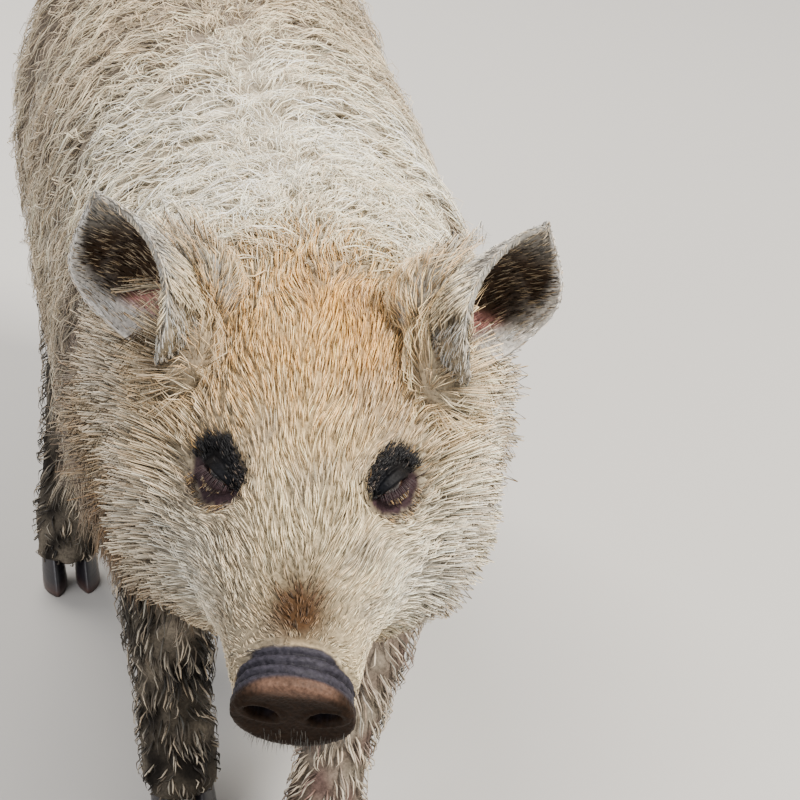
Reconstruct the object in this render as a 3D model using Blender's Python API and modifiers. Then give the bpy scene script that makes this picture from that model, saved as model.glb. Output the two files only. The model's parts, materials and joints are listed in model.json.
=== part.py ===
"""Mangalica pig, a grower of about 45 kg, as a still life-size model.

Metres, +Z up. The pig faces -Y, so its own left is +X. It is caught in a walk: the right
hind and left fore feet are forward, and the head is lowered and turned a little to its right.
The body is lofted from a few sections, fused, dressed with coat locks, and then parted into
named nodes by thin cuts. The sections are those of the coat's dense core, a little outside
the skin, and the locks stand on it.
"""

import math
import random

import bmesh
import bpy
from mathutils import Matrix, Vector
from mathutils.bvhtree import BVHTree

# The gap that parted nodes keep, and how far cutters reach past what they cut.
GAP = 0.0003
REACH = 0.6

# Where the middle of the model's own box lies before it is moved over the origin.
BOX_MIDDLE = Vector((-0.0065, -0.0676, 0.0))

# Fineness and softness of the fused body: the head is softened less and thinned less.
VOXEL = 0.0060
SMOOTH_ROUNDS = 12
HEAD_SOFTENED = 0.30
HEAD_THINNED = 0.93
KEPT_SHARE = 0.033
RING_POINTS = 28

# Sections of the trunk: distance back along Y, then the height of the belly, of the widest
# point and of the back, and half the width there.
TRUNK = (
    (-0.325, 0.325, 0.352, 0.385, 0.038),
    (-0.300, 0.278, 0.345, 0.425, 0.078),
    (-0.245, 0.232, 0.340, 0.472, 0.110),
    (-0.160, 0.204, 0.334, 0.496, 0.128),
    (-0.060, 0.198, 0.328, 0.503, 0.133),
    (0.060, 0.196, 0.328, 0.508, 0.137),
    (0.170, 0.208, 0.336, 0.510, 0.135),
    (0.250, 0.232, 0.350, 0.502, 0.129),
    (0.320, 0.262, 0.360, 0.480, 0.114),
    (0.368, 0.298, 0.368, 0.448, 0.088),
    (0.400, 0.335, 0.375, 0.415, 0.050),
)

# The neck, from inside the shoulders to inside the skull: middle across, distance back along
# Y, height of the throat, of the widest point and of the crest, and half the width.
NECK = (
    (0.000, -0.150, 0.215, 0.345, 0.490, 0.112),
    (0.000, -0.240, 0.242, 0.362, 0.497, 0.110),
    (-0.004, -0.310, 0.282, 0.380, 0.499, 0.104),
    (-0.010, -0.360, 0.312, 0.390, 0.497, 0.098),
    (-0.014, -0.400, 0.332, 0.396, 0.488, 0.088),
    (-0.018, -0.440, 0.342, 0.398, 0.462, 0.070),
)

# The head hangs from the poll, in its own frame: it is turned, dipped and tilted there.
POLL = Vector((-0.002, -0.405, 0.490))
HEAD_TURN = math.radians(-11.5)
HEAD_DIP = math.radians(21)
HEAD_TILT = math.radians(7)
HEAD_REACH_DOWN = -0.20
# How far behind the poll the head's softness and fineness begin, and over what length.
HEAD_BLEND = (0.020, 0.060)

# Sections of the skull and upper muzzle, measured forward from the poll: height of the lower
# edge, of the widest point and of the brow line, and half the width there.
HEAD = (
    (-0.040, -0.130, -0.080, -0.026, 0.060),
    (-0.010, -0.156, -0.092, -0.006, 0.079),
    (0.030, -0.168, -0.100, 0.004, 0.091),
    (0.068, -0.166, -0.100, 0.000, 0.090),
    (0.100, -0.156, -0.094, -0.012, 0.079),
    (0.125, -0.146, -0.088, -0.029, 0.065),
    (0.149, -0.137, -0.084, -0.042, 0.053),
    (0.172, -0.128, -0.081, -0.048, 0.044),
    (0.194, -0.119, -0.079, -0.050, 0.038),
    (0.218, -0.108, -0.077, -0.050, 0.034),
)
# The lower jaw, in the same way: it stops short of the snout's disc.
JAW = (
    (0.010, -0.172, -0.130, -0.090, 0.058),
    (0.070, -0.174, -0.128, -0.090, 0.056),
    (0.118, -0.164, -0.122, -0.090, 0.046),
    (0.155, -0.150, -0.116, -0.090, 0.037),
    (0.182, -0.137, -0.112, -0.090, 0.030),
    (0.200, -0.124, -0.107, -0.093, 0.021),
)

# The snout in front of the upper lip: its neck, flared disc, rounded rim and dished face.
SNOUT_BACK = 0.208
SNOUT = (
    (SNOUT_BACK + GAP, -0.112, -0.077, -0.0505, 0.0340),
    (0.220, -0.107, -0.077, -0.0500, 0.0315),
    (0.230, -0.104, -0.076, -0.0490, 0.0305),
    (0.237, -0.103, -0.075, -0.0465, 0.0322),
    (0.242, -0.103, -0.075, -0.0460, 0.0328),
    (0.245, -0.100, -0.075, -0.0485, 0.0308),
    (0.2435, -0.095, -0.075, -0.0540, 0.0260),
    (0.2430, -0.088, -0.075, -0.0620, 0.0160),
)
NOSTRIL = ((0.0125, -0.244, -0.0745), (0.0050, 0.0120, 0.0075))
NOSTRIL_SLANT = math.radians(18)

# Rounded masses that fuse with the lofts: middle and radii, mirrored to the other side.
SHOULDER = ((0.056, -0.160, 0.315), (0.080, 0.135, 0.150))
HAUNCH = ((0.052, 0.262, 0.335), (0.090, 0.138, 0.155))
CHEEK = ((0.038, -0.040, -0.112), (0.053, 0.095, 0.062))
BROW = ((0.031, -0.090, -0.045), (0.024, 0.042, 0.025))

# Leg paths from inside the body to the coronet: point on the path, radius across, radius along.
FORE_FORWARD = (
    (0.078, -0.185, 0.320, 0.046, 0.082),
    (0.070, -0.205, 0.245, 0.042, 0.058),
    (0.050, -0.240, 0.190, 0.033, 0.038),
    (0.030, -0.262, 0.145, 0.030, 0.033),
    (0.008, -0.288, 0.095, 0.025, 0.027),
    (-0.004, -0.304, 0.058, 0.028, 0.029),
    (-0.010, -0.318, 0.024, 0.028, 0.029),
)
FORE_BACK = (
    (-0.080, -0.165, 0.320, 0.046, 0.082),
    (-0.083, -0.166, 0.245, 0.042, 0.058),
    (-0.085, -0.176, 0.190, 0.033, 0.038),
    (-0.086, -0.178, 0.145, 0.030, 0.033),
    (-0.086, -0.172, 0.095, 0.025, 0.027),
    (-0.086, -0.178, 0.058, 0.028, 0.029),
    (-0.086, -0.192, 0.024, 0.028, 0.029),
)
HIND_FORWARD = (
    (-0.084, 0.245, 0.330, 0.050, 0.105),
    (-0.096, 0.228, 0.250, 0.044, 0.074),
    (-0.110, 0.238, 0.186, 0.032, 0.044),
    (-0.122, 0.228, 0.140, 0.026, 0.033),
    (-0.131, 0.196, 0.092, 0.025, 0.028),
    (-0.138, 0.176, 0.056, 0.028, 0.029),
    (-0.142, 0.160, 0.024, 0.028, 0.029),
)
HIND_BACK = (
    (0.082, 0.280, 0.330, 0.050, 0.105),
    (0.086, 0.306, 0.250, 0.044, 0.072),
    (0.089, 0.356, 0.188, 0.031, 0.042),
    (0.090, 0.374, 0.142, 0.026, 0.033),
    (0.088, 0.360, 0.092, 0.025, 0.028),
    (0.087, 0.348, 0.056, 0.028, 0.029),
    (0.087, 0.332, 0.024, 0.028, 0.029),
)
LEGS = {
    "foreleg_left": FORE_FORWARD,
    "foreleg_right": FORE_BACK,
    "hindleg_left": HIND_BACK,
    "hindleg_right": HIND_FORWARD,
}

# Each leg is parted inside a sleeve round its path, which flares outward over the shoulder or
# the ham: how much wider it is, how it moves out and reaches up at the top, the shares of that
# reach where its dome has rings, the heights between which it flares, and where it starts.
SLEEVE_ROOM = 0.022
SLEEVE_OUT = 0.040
SLEEVE_CROWN = 0.030
SLEEVE_DOME = (0.50, 0.86)
SLEEVE_FLARE = (0.150, 0.270)
SLEEVE_BELOW = -0.05
LEG_FOOT = 0.0283

# A claw: its height, width, length, the gap between a pair, how far it stands forward, its
# sides and how much its toe narrows. A dewclaw: its height on the leg, the way it points, how
# far from the middle and how deep in the leg it is set, its base and tip radius, its length.
CLAW_HEIGHT = LEG_FOOT - GAP
CLAW_WIDTH = 0.022
CLAW_LENGTH = 0.050
CLAW_SPLIT = 0.0045
CLAW_FORWARD = 0.006
CLAW_SIDES = 14
CLAW_TOE = 0.35
# Its rings: share of the height, of the width and of the length, and how far back it leans.
CLAW_RINGS = ((0.0, 0.94, 1.0, 0.0), (0.5, 1.0, 0.96, 0.004), (1.0, 0.86, 0.80, 0.009))
DEWCLAW_HEIGHT = 0.052
DEWCLAW_LEAN = Vector((0.35, 0.80, -0.75))
DEWCLAW_APART = 0.014
DEWCLAW_SET = 0.78
DEWCLAW_RADII = (0.0090, 0.0062)
DEWCLAW_LENGTH = 0.022

# The planes that part the head from the neck and the neck from the trunk: where each stands
# and how far it leans.
HEAD_BACK = Vector((0.0, 0.018, -0.080))
HEAD_PLANE_DIP = math.radians(9)
NECK_FOOT = Vector((0.0, -0.256, 0.380))
NECK_LEAN = math.radians(10)

# An eye, on the pig's left in the head's frame, and the almond opening between its lids.
EYE_SPOT = Vector((0.0400, -0.1115, -0.0430))
EYE_LOOK = Vector((0.60, -0.65, 0.47)).normalized()
EYE_RADIUS = 0.0110
EYE_SIDES = (12, 8)
LID_THICK = 0.0024
LID_CORNERS = Vector((-0.55, -0.70, -0.30))
LID_OPENING = (0.0100, 0.0042, 0.0080)
LID_OPENING_SIDES = (12, 6)

# The line of the mouth on the left side, in the head's frame, from under the snout to the
# corner. It is laid on the surface, with a lip along each side of it.
MOUTH = (
    (0.000, -0.206, -0.116),
    (0.022, -0.200, -0.114),
    (0.034, -0.182, -0.113),
    (0.044, -0.158, -0.114),
    (0.054, -0.132, -0.116),
    (0.062, -0.108, -0.111),
)
LIP_RADIUS = 0.0050
LIP_SUNK = 0.0030
MOUTH_RADIUS = 0.0022
MOUTH_STEPS = 1
LIP_ENDS = 0.35
LIP_FULLNESS = 0.4

# An ear, in the head's frame: root, tip direction, the way the cup faces, length, half its
# width along the arc, thickness, and the arc's half turn at the root and at the tip.
EAR_ROOT = Vector((0.065, -0.014, -0.030))
EAR_RISE = Vector((0.47, 0.06, 0.86))
EAR_FACE = Vector((0.42, -0.90, 0.02))
EAR_LENGTH = 0.106
EAR_HALF_WIDTH = 0.055
EAR_THICK = 0.0042
EAR_CURL = (math.radians(86), math.radians(26))
EAR_OPENS = 0.7
# How much of it lies inside the head, how far its middle leans sideways and its tip nods, the
# stretch of a half wave that its width follows, how full it is, and the cup's own middle.
EAR_SUNK = 0.20
EAR_BULGE = 0.008
EAR_NOD = 0.012
EAR_WAVE = (0.30, 0.98)
EAR_FULLNESS = 0.75
EAR_CUP_SET = 0.6
EAR_GRID = (8, 9)

# The tail hangs from the rump: points on its path and its radius at each.
TAIL = (
    (0.000, 0.370, 0.452, 0.0150),
    (0.004, 0.405, 0.446, 0.0130),
    (0.010, 0.430, 0.424, 0.0110),
    (0.012, 0.441, 0.388, 0.0095),
    (0.006, 0.444, 0.348, 0.0085),
    (-0.004, 0.447, 0.306, 0.0075),
    (-0.010, 0.456, 0.270, 0.0060),
)

# The coat's locks: the seed of their draws and how many spots are tried. For each zone, the
# distance between roots, then a lock's length, half its width, half its thickness and how
# high its tip stands over the core.
COAT_SEED = 11
ROOT_TRIES = 9000
LOCKS = {
    "torso": (0.074, 0.138, 0.0230, 0.0080, 0.0128),
    "neck": (0.055, 0.100, 0.0185, 0.0072, 0.0115),
    "head": (0.038, 0.054, 0.0120, 0.0046, 0.0062),
    "leg": (0.076, 0.098, 0.0170, 0.0056, 0.0066),
}
# The lie of the coat: on the head in its own frame, then on the upper and lower sides of the
# trunk, and on the legs. The first value leads away from the middle.
HEAD_LIE = Vector((0.35, 0.90, -0.30))
BACK_LIE = Vector((0.45, 0.55, -0.85))
BELLY_LIE = Vector((-0.15, 0.55, -0.85))
LEG_LIE = Vector((0.00, 0.25, -1.00))
# A lock's rings: how far along it each is, then shares of its width, thickness and height.
LOCK_RINGS = (
    (0.00, 0.60, 1.0, -1.00),
    (0.24, 0.95, 1.0, 0.15),
    (0.50, 1.00, 1.0, 0.55),
    (0.76, 0.70, 0.8, 0.80),
    (1.00, 0.06, 0.2, 1.00),
)
# Its sideways wave as a share of its length, how many waves it has and where they are full,
# how far it strays from the lie, how much its size varies, and how it is shortened at a cut.
LOCK_WAVE = 0.105
LOCK_WAVES = 1.05
LOCK_WAVE_FULL = 0.5
LOCK_DRIFT = 0.25
LOCK_VARIETY = 0.20
LOCK_SHORTENED = (1.0, 0.85, 0.7, 0.55, 0.42)
# Where no lock grows: ahead of this on the head, round the ears' roots and the tail's, and
# low on the legs. Locks also keep this clear of the cuts between nodes.
FACE_EDGE = 0.050
EAR_CLEARANCE = 0.052
TAIL_CLEARANCE = 0.040
LEG_LOCKS_ABOVE = 0.120
CUT_CLEARANCE = 0.004

# The tassel of the tail: how many locks, their length, half width and half thickness, where
# on the tail they start, how far they stand off at root and tip, sway, and trail backwards.
TASSEL = (4, 0.105, 0.0115, 0.0052)
TASSEL_FROM = 0.62
TASSEL_OFF = (0.004, 0.016)
TASSEL_SWAY = 0.006
TASSEL_BACK = 0.012
TAIL_SIDES = 8


def clear_scene():
    for obj in list(bpy.data.objects):
        bpy.data.objects.remove(obj, do_unlink=True)


def new_object(name, mesh, collection):
    obj = bpy.data.objects.new(name, mesh)
    collection.objects.link(obj)
    return obj


def object_from(bm, name, collection):
    mesh = bpy.data.meshes.new(name)
    bm.to_mesh(mesh)
    bm.free()
    return new_object(name, mesh, collection)


def evaluated_mesh(obj):
    """The object's mesh with its modifiers applied."""
    bpy.context.view_layer.update()
    graph = bpy.context.evaluated_depsgraph_get()
    return bpy.data.meshes.new_from_object(obj.evaluated_get(graph))


def apply_modifiers(obj):
    mesh = evaluated_mesh(obj)
    obj.modifiers.clear()
    obj.data = mesh


def close_up(bm):
    """Turns the faces outwards and makes them triangles."""
    bmesh.ops.recalc_face_normals(bm, faces=bm.faces)
    bmesh.ops.triangulate(bm, faces=bm.faces)


def empty_out(collection):
    for obj in list(collection.objects):
        bpy.data.objects.remove(obj, do_unlink=True)


def add_ring(bm, points):
    """A closed ring of edges through the points, as its edges."""
    made = bmesh.ops.create_circle(bm, cap_ends=False, segments=len(points), radius=1.0)
    verts = made["verts"]
    for vert, point in zip(verts, points):
        vert.co = point
    return [bm.edges.get((verts[i - 1], verts[i])) for i in range(len(verts))]


def add_loft(bm, rings):
    """A closed body through rings of equally many points."""
    loops = [add_ring(bm, ring) for ring in rings]
    for first, second in zip(loops, loops[1:]):
        bmesh.ops.bridge_loops(bm, edges=first + second)
    for loop in (loops[0], loops[-1]):
        bmesh.ops.contextual_create(bm, geom=loop)


def section(half_width, low, wide, high, points=RING_POINTS):
    """An egg section across a body, as (sideways, upwards) pairs."""
    outline = []
    for step in range(points):
        turn = math.tau * step / points
        side, up = math.cos(turn), math.sin(turn)
        height = (high - wide) if up > 0 else (wide - low)
        outline.append((half_width * side, wide + height * up))
    return outline


def smooth_rows(rows, per_span=3):
    """The rows with more between them, on a Catmull-Rom curve through every column."""
    made = []
    for i in range(len(rows) - 1):
        before, start = rows[max(i - 1, 0)], rows[i]
        end, after = rows[i + 1], rows[min(i + 2, len(rows) - 1)]
        for step in range(per_span):
            t = step / per_span
            made.append(tuple(
                0.5 * (2 * b + (c - a) * t + (2 * a - 5 * b + 4 * c - d) * t * t
                       + (3 * b - a - 3 * c + d) * t ** 3)
                for a, b, c, d in zip(before, start, end, after)
            ))
    made.append(tuple(rows[-1]))
    return made


def head_frame():
    """Carries a point from the head's own frame to the body's."""
    turn = Matrix.Rotation(HEAD_TURN, 4, "Z")
    dip = Matrix.Rotation(HEAD_DIP, 4, "X")
    tilt = Matrix.Rotation(HEAD_TILT, 4, "Y")
    return Matrix.Translation(POLL) @ turn @ dip @ tilt


def mirrored(vector, side):
    return Vector((side * vector[0], vector[1], vector[2]))


def axes_frame(origin, along, facing):
    """A frame at the origin whose Y runs along and whose Z faces as nearly as it can."""
    y = along.normalized()
    z = (facing - y * facing.dot(y)).normalized()
    x = y.cross(z)
    frame = Matrix((x, y, z)).transposed().to_4x4()
    return Matrix.Translation(origin) @ frame


def add_trunk(bm):
    rings = []
    for along, low, wide, high, half in smooth_rows(TRUNK):
        rings.append([Vector((x, along, z)) for x, z in section(half, low, wide, high)])
    add_loft(bm, rings)


def add_neck(bm):
    rings = []
    for x, y, low, wide, high, half in smooth_rows(NECK):
        rings.append([Vector((x + side, y, z)) for side, z in section(half, low, wide, high)])
    add_loft(bm, rings)


def add_head_loft(bm, rows, per_span=3, points=RING_POINTS):
    """A loft of the skull, the jaw or the snout, along the head's own frame."""
    place = head_frame()
    rings = []
    for ahead, low, wide, high, half in smooth_rows(rows, per_span):
        outline = section(half, low, wide, high, points)
        rings.append([place @ Vector((side, -ahead, up)) for side, up in outline])
    add_loft(bm, rings)


def level_ring(x, y, z, across, along):
    return [Vector((x + side, y + back, z)) for side, back in section(across, -along, 0.0, along)]


def add_leg(bm, rows):
    """A limb whose sections stay level, from its root in the body to the coronet."""
    add_loft(bm, [level_ring(*row) for row in smooth_rows(rows)])


def add_ellipsoid(bm, middle, radii, place=Matrix(), segments=24, rings=14):
    shape = place @ Matrix.Translation(middle) @ Matrix.Diagonal((*radii, 1.0))
    made = bmesh.ops.create_uvsphere(bm, u_segments=segments, v_segments=rings, radius=1.0)
    bmesh.ops.transform(bm, matrix=shape, verts=made["verts"])


def add_mass(bm, mass, place=Matrix()):
    """A pair of ellipsoids, one on each side."""
    middle, radii = mass
    for side in (1, -1):
        add_ellipsoid(bm, mirrored(middle, side), radii, place)


def fused_body(scratch):
    """The whole animal without ears, coat or hooves: its smooth mesh, fine and then thinned."""
    bm = bmesh.new()
    add_trunk(bm)
    add_neck(bm)
    add_head_loft(bm, HEAD)
    add_head_loft(bm, JAW)
    for rows in LEGS.values():
        add_leg(bm, rows)
    add_mass(bm, SHOULDER)
    add_mass(bm, HAUNCH)
    add_mass(bm, CHEEK, head_frame())
    add_mass(bm, BROW, head_frame())
    bmesh.ops.recalc_face_normals(bm, faces=bm.faces)
    lofts = object_from(bm, "lofts", scratch)
    remesh = lofts.modifiers.new("fuse", "REMESH")
    remesh.mode = "VOXEL"
    remesh.voxel_size = VOXEL
    fused = new_object("fused", evaluated_mesh(lofts), scratch)
    softened = fused.vertex_groups.new(name="softened")
    thinned = fused.vertex_groups.new(name="thinned")
    into_head = head_frame().inverted()
    start, span = HEAD_BLEND
    for vert in fused.data.vertices:
        spot = into_head @ vert.co
        share = min(max((start - spot.y) / span, 0.0), 1.0) if spot.z > HEAD_REACH_DOWN else 0.0
        softened.add([vert.index], 1.0 - (1.0 - HEAD_SOFTENED) * share, "REPLACE")
        thinned.add([vert.index], 1.0 - (1.0 - HEAD_THINNED) * share, "REPLACE")
    smooth = fused.modifiers.new("blend", "SMOOTH")
    smooth.factor = 0.5
    smooth.iterations = SMOOTH_ROUNDS
    smooth.vertex_group = softened.name
    fine = evaluated_mesh(fused)
    thin = fused.modifiers.new("thin", "DECIMATE")
    thin.ratio = KEPT_SHARE
    thin.use_collapse_triangulate = True
    thin.vertex_group = thinned.name
    thinned_body = evaluated_mesh(fused)
    empty_out(scratch)
    return fine, thinned_body


def boolean(obj, operation, scratch):
    """Joins the scratch collection's closed objects to this one, or cuts them from it."""
    tool = obj.modifiers.new("boolean", "BOOLEAN")
    tool.operation = operation
    tool.operand_type = "COLLECTION"
    tool.collection = scratch
    tool.solver = "MANIFOLD"
    apply_modifiers(obj)
    empty_out(scratch)


def keep_largest_shell(obj):
    """Leaves only the largest closed surface of the object's mesh."""
    bm = bmesh.new()
    bm.from_mesh(obj.data)
    unseen = set(bm.faces)
    shells = []
    while unseen:
        shell = [unseen.pop()]
        for face in shell:
            for edge in face.edges:
                for other in edge.link_faces:
                    if other in unseen:
                        unseen.discard(other)
                        shell.append(other)
        shells.append(shell)
    largest = max(shells, key=lambda shell: sum(face.calc_area() for face in shell))
    spare = [face for shell in shells if shell is not largest for face in shell]
    bmesh.ops.delete(bm, geom=spare, context="FACES")
    loose = [vert for vert in bm.verts if not vert.link_faces]
    bmesh.ops.delete(bm, geom=loose, context="VERTS")
    bm.to_mesh(obj.data)
    bm.free()


def swollen(mesh, name, scratch, by=GAP):
    """A copy of a mesh whose surface stands a little further out."""
    bm = bmesh.new()
    bm.from_mesh(mesh)
    bm.normal_update()
    for vert in bm.verts:
        vert.co += vert.normal * by
    return object_from(bm, name, scratch)


def tree_of(mesh):
    bm = bmesh.new()
    bm.from_mesh(mesh)
    tree = BVHTree.FromBMesh(bm)
    bm.free()
    return tree


def half_space(name, origin, forward, scratch):
    """A large block whose front face lies on the origin, behind the forward direction."""
    bm = bmesh.new()
    bmesh.ops.create_cube(bm, size=2 * REACH)
    frame = axes_frame(origin, forward, Vector((1, 0, 0)))
    shape = frame @ Matrix.Translation((0, -REACH, 0))
    bmesh.ops.transform(bm, matrix=shape, verts=bm.verts)
    return object_from(bm, name, scratch)


def leg_sleeve(rows):
    """The region that a leg takes in, as a closed loft round its path."""
    outward = math.copysign(SLEEVE_OUT, rows[0][0])
    low, high = SLEEVE_FLARE
    rings = []
    for x, y, z, across, along in reversed(rows):
        flare = min(max((z - low) / (high - low), 0.0), 1.0)
        rings.append(level_ring(
            x + outward * flare, y, z,
            across + SLEEVE_ROOM + SLEEVE_OUT * flare, along + SLEEVE_ROOM * (1 - flare),
        ))
    x, y, z, across, along = rows[0]
    for share in SLEEVE_DOME:
        narrowed = math.sqrt(1 - share ** 2)
        rings.append(level_ring(
            x + outward, y, z + SLEEVE_CROWN * share,
            (across + SLEEVE_ROOM + SLEEVE_OUT) * narrowed, along * narrowed,
        ))
    rings[0] = [Vector((point.x, point.y, SLEEVE_BELOW)) for point in rings[0]]
    bm = bmesh.new()
    add_loft(bm, rings)
    close_up(bm)
    return bm


class Zones:
    """Says which node a point will belong to once the body is parted."""

    def __init__(self):
        self.sleeves = {}
        for name, rows in LEGS.items():
            bm = leg_sleeve(rows)
            self.sleeves[name] = BVHTree.FromBMesh(bm)
            bm.free()
        (self.nape, self.nape_forward), _ = head_planes()
        self.lean = neck_forward()

    def name_of(self, point, room=0.0):
        """The zone, or None where the point is nearer than the room to a cut."""
        for name, tree in self.sleeves.items():
            where, normal, _, away = tree.find_nearest(point)
            if away < room:
                return None
            if (point - where).dot(normal) < 0.0:
                return name
        before_nape = (point - self.nape).dot(self.nape_forward)
        before_neck = (point - NECK_FOOT).dot(self.lean)
        if min(abs(before_nape), abs(before_neck)) < room:
            return None
        if before_nape > 0.0:
            return "head"
        return "neck" if before_neck > 0.0 else "torso"


def coat_flow(point, normal, zone):
    """The lie of the coat: back along the spine, down and back on the sides, down the legs."""
    side = math.copysign(1.0, point.x - POLL.x if zone == "head" else point.x)
    if zone == "head":
        flow = head_frame().to_3x3() @ mirrored(HEAD_LIE, side)
    elif zone in ("torso", "neck"):
        flow = mirrored(BACK_LIE if normal.z > 0.0 else BELLY_LIE, side)
    else:
        flow = LEG_LIE
    return (flow - normal * flow.dot(normal)).normalized()


def lock_rings(tree, root, zone, sizes, draw):
    """The rings of one lock, laid over the surface from its root along the coat's lie."""
    length, half_width, half_thick, rise = sizes
    phase = draw.uniform(0.0, math.tau)
    drift = draw.uniform(-LOCK_DRIFT, LOCK_DRIFT)
    rings = []
    point, normal = root, tree.find_nearest(root)[1]
    last = 0.0
    for share, wide, thick, height in LOCK_RINGS:
        flow = coat_flow(point, normal, zone)
        across = normal.cross(flow)
        step = (flow + across * drift).normalized() * length * (share - last)
        point, normal = tree.find_nearest(point + step)[:2]
        last = share
        wave = math.sin(math.tau * LOCK_WAVES * share + phase) * min(share / LOCK_WAVE_FULL, 1.0)
        where, facing = tree.find_nearest(point + across * LOCK_WAVE * length * wave)[:2]
        middle = where + facing * rise * height
        flow = coat_flow(where, facing, zone)
        across = facing.cross(flow)
        rings.append([
            middle + across * half_width * wide,
            middle + facing * half_thick * thick,
            middle - across * half_width * wide,
            middle - facing * half_thick * thick,
        ])
    return rings


def lock_roots(fine, zones, draw):
    """Evenly spaced roots over the coat, with the zone that each lies in."""
    poll = head_frame()
    into_head = poll.inverted()
    ears = [poll @ mirrored(EAR_ROOT, side) for side in (1, -1)]
    tail = Vector(TAIL[1][:3])
    spots = [vert.co.copy() for vert in draw.sample(list(fine.vertices), ROOT_TRIES)]
    chosen = []
    for spot in spots:
        zone = zones.name_of(spot, CUT_CLEARANCE)
        if zone is None or (spot - tail).length < TAIL_CLEARANCE:
            continue
        kind = "leg" if zone in LEGS else zone
        if kind == "head" and -(into_head @ spot).y > FACE_EDGE:
            continue
        if kind == "leg" and spot.z < LEG_LOCKS_ABOVE:
            continue
        if min((spot - ear).length for ear in ears) < EAR_CLEARANCE:
            continue
        apart = LOCKS[kind][0]
        if all((spot - other).length > apart for other, _, _ in chosen):
            chosen.append((spot, zone, kind))
    return chosen


def add_coat(body, fine, scratch):
    """Grows the locks over the body, each clear of the cuts, and fuses them with it."""
    draw = random.Random(COAT_SEED)
    zones = Zones()
    tree = tree_of(fine)
    for root, zone, kind in lock_roots(fine, zones, draw):
        _, *sizes = LOCKS[kind]
        vary = 1.0 + draw.uniform(-LOCK_VARIETY, LOCK_VARIETY)
        seed = draw.random()
        for shortened in LOCK_SHORTENED:
            fitted = [size * vary * math.sqrt(shortened) for size in sizes]
            fitted[0] = sizes[0] * vary * shortened
            rings = lock_rings(tree, root, zone, fitted, random.Random(seed))
            if all(zones.name_of(point) == zone for ring in rings for point in ring):
                break
        else:
            continue
        bm = bmesh.new()
        add_loft(bm, rings)
        close_up(bm)
        object_from(bm, "lock", scratch)
    boolean(body, "UNION", scratch)


def lid_line(side):
    """The way from the outer to the inner corner of an eye, and the way the eye looks."""
    look = mirrored(EYE_LOOK, side)
    corners = mirrored(LID_CORNERS, side)
    return (corners - look * corners.dot(look)).normalized(), look


def add_eyelids(body, scratch):
    """Raises a lid over each eye, still closed."""
    for side in (1, -1):
        bm = bmesh.new()
        radius = EYE_RADIUS + LID_THICK
        add_ellipsoid(bm, mirrored(EYE_SPOT, side), (radius,) * 3, head_frame(), *EYE_SIDES)
        object_from(bm, "lid", scratch)
    boolean(body, "UNION", scratch)


def eye_cutters(scratch):
    """The sockets, and the almond openings between the lids."""
    place = head_frame()
    for side in (1, -1):
        spot = mirrored(EYE_SPOT, side)
        bm = bmesh.new()
        add_ellipsoid(bm, spot, (EYE_RADIUS + GAP,) * 3, place, *EYE_SIDES)
        object_from(bm, "socket", scratch)
        corners, look = lid_line(side)
        bm = bmesh.new()
        frame = place @ axes_frame(spot + look * EYE_RADIUS, corners, look)
        length, height, depth = LID_OPENING
        add_ellipsoid(bm, Vector(), (height, length, depth), frame, *LID_OPENING_SIDES)
        object_from(bm, "opening", scratch)


def mouth_route(tree):
    """The mouth's line on the surface, from one corner round under the snout to the other."""
    place = head_frame()
    left = smooth_rows(MOUTH, MOUTH_STEPS)
    right = [(-x, y, z) for x, y, z in left]
    route = [place @ Vector(point) for point in right[:0:-1] + left]
    return [tree.find_nearest(point)[:2] for point in route]


def add_tube(bm, route, radii, sides=8):
    """A closed tube through the points, with a radius at each."""
    rings = []
    facing = Vector((0.0, 0.0, 1.0))
    for i, (point, radius) in enumerate(zip(route, radii, strict=True)):
        along = route[min(i + 1, len(route) - 1)] - route[max(i - 1, 0)]
        frame = axes_frame(point, along, facing)
        facing = frame.to_3x3() @ Vector((0, 0, 1))
        outline = section(radius, -radius, 0.0, radius, sides)
        rings.append([frame @ Vector((across, 0.0, up)) for across, up in outline])
    add_loft(bm, rings)
    close_up(bm)


def swell_and_taper(count, radius):
    """Radii that are full in the middle and small at both ends."""
    swells = [math.sin(math.pi * i / (count - 1)) ** LIP_FULLNESS for i in range(count)]
    return [radius * (LIP_ENDS + (1 - LIP_ENDS) * swell) for swell in swells]


def add_lips(body, route, scratch):
    bm = bmesh.new()
    points = [where - normal * LIP_SUNK for where, normal in route]
    add_tube(bm, points, swell_and_taper(len(points), LIP_RADIUS), 6)
    object_from(bm, "lips", scratch)
    boolean(body, "UNION", scratch)


def mouth_cutter(route, scratch):
    bm = bmesh.new()
    points = [where + normal * (LIP_RADIUS - LIP_SUNK) for where, normal in route]
    add_tube(bm, points, swell_and_taper(len(points), MOUTH_RADIUS), 5)
    object_from(bm, "mouth", scratch)


def head_planes():
    """The back of the head and of the snout, each as a point and the way forward."""
    place = head_frame()
    dip = HEAD_PLANE_DIP - HEAD_DIP
    nape_forward = place.to_3x3() @ Vector((0, -math.cos(dip), -math.sin(dip)))
    forward = place.to_3x3() @ Vector((0, -1, 0))
    snout_back = place @ Vector((0, -SNOUT_BACK, HEAD_BACK.z))
    return (place @ HEAD_BACK, nape_forward), (snout_back, forward)


def neck_forward():
    """The way forward of the plane that parts the neck from the trunk."""
    return Vector((0.0, -math.cos(NECK_LEAN), math.sin(NECK_LEAN)))


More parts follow.
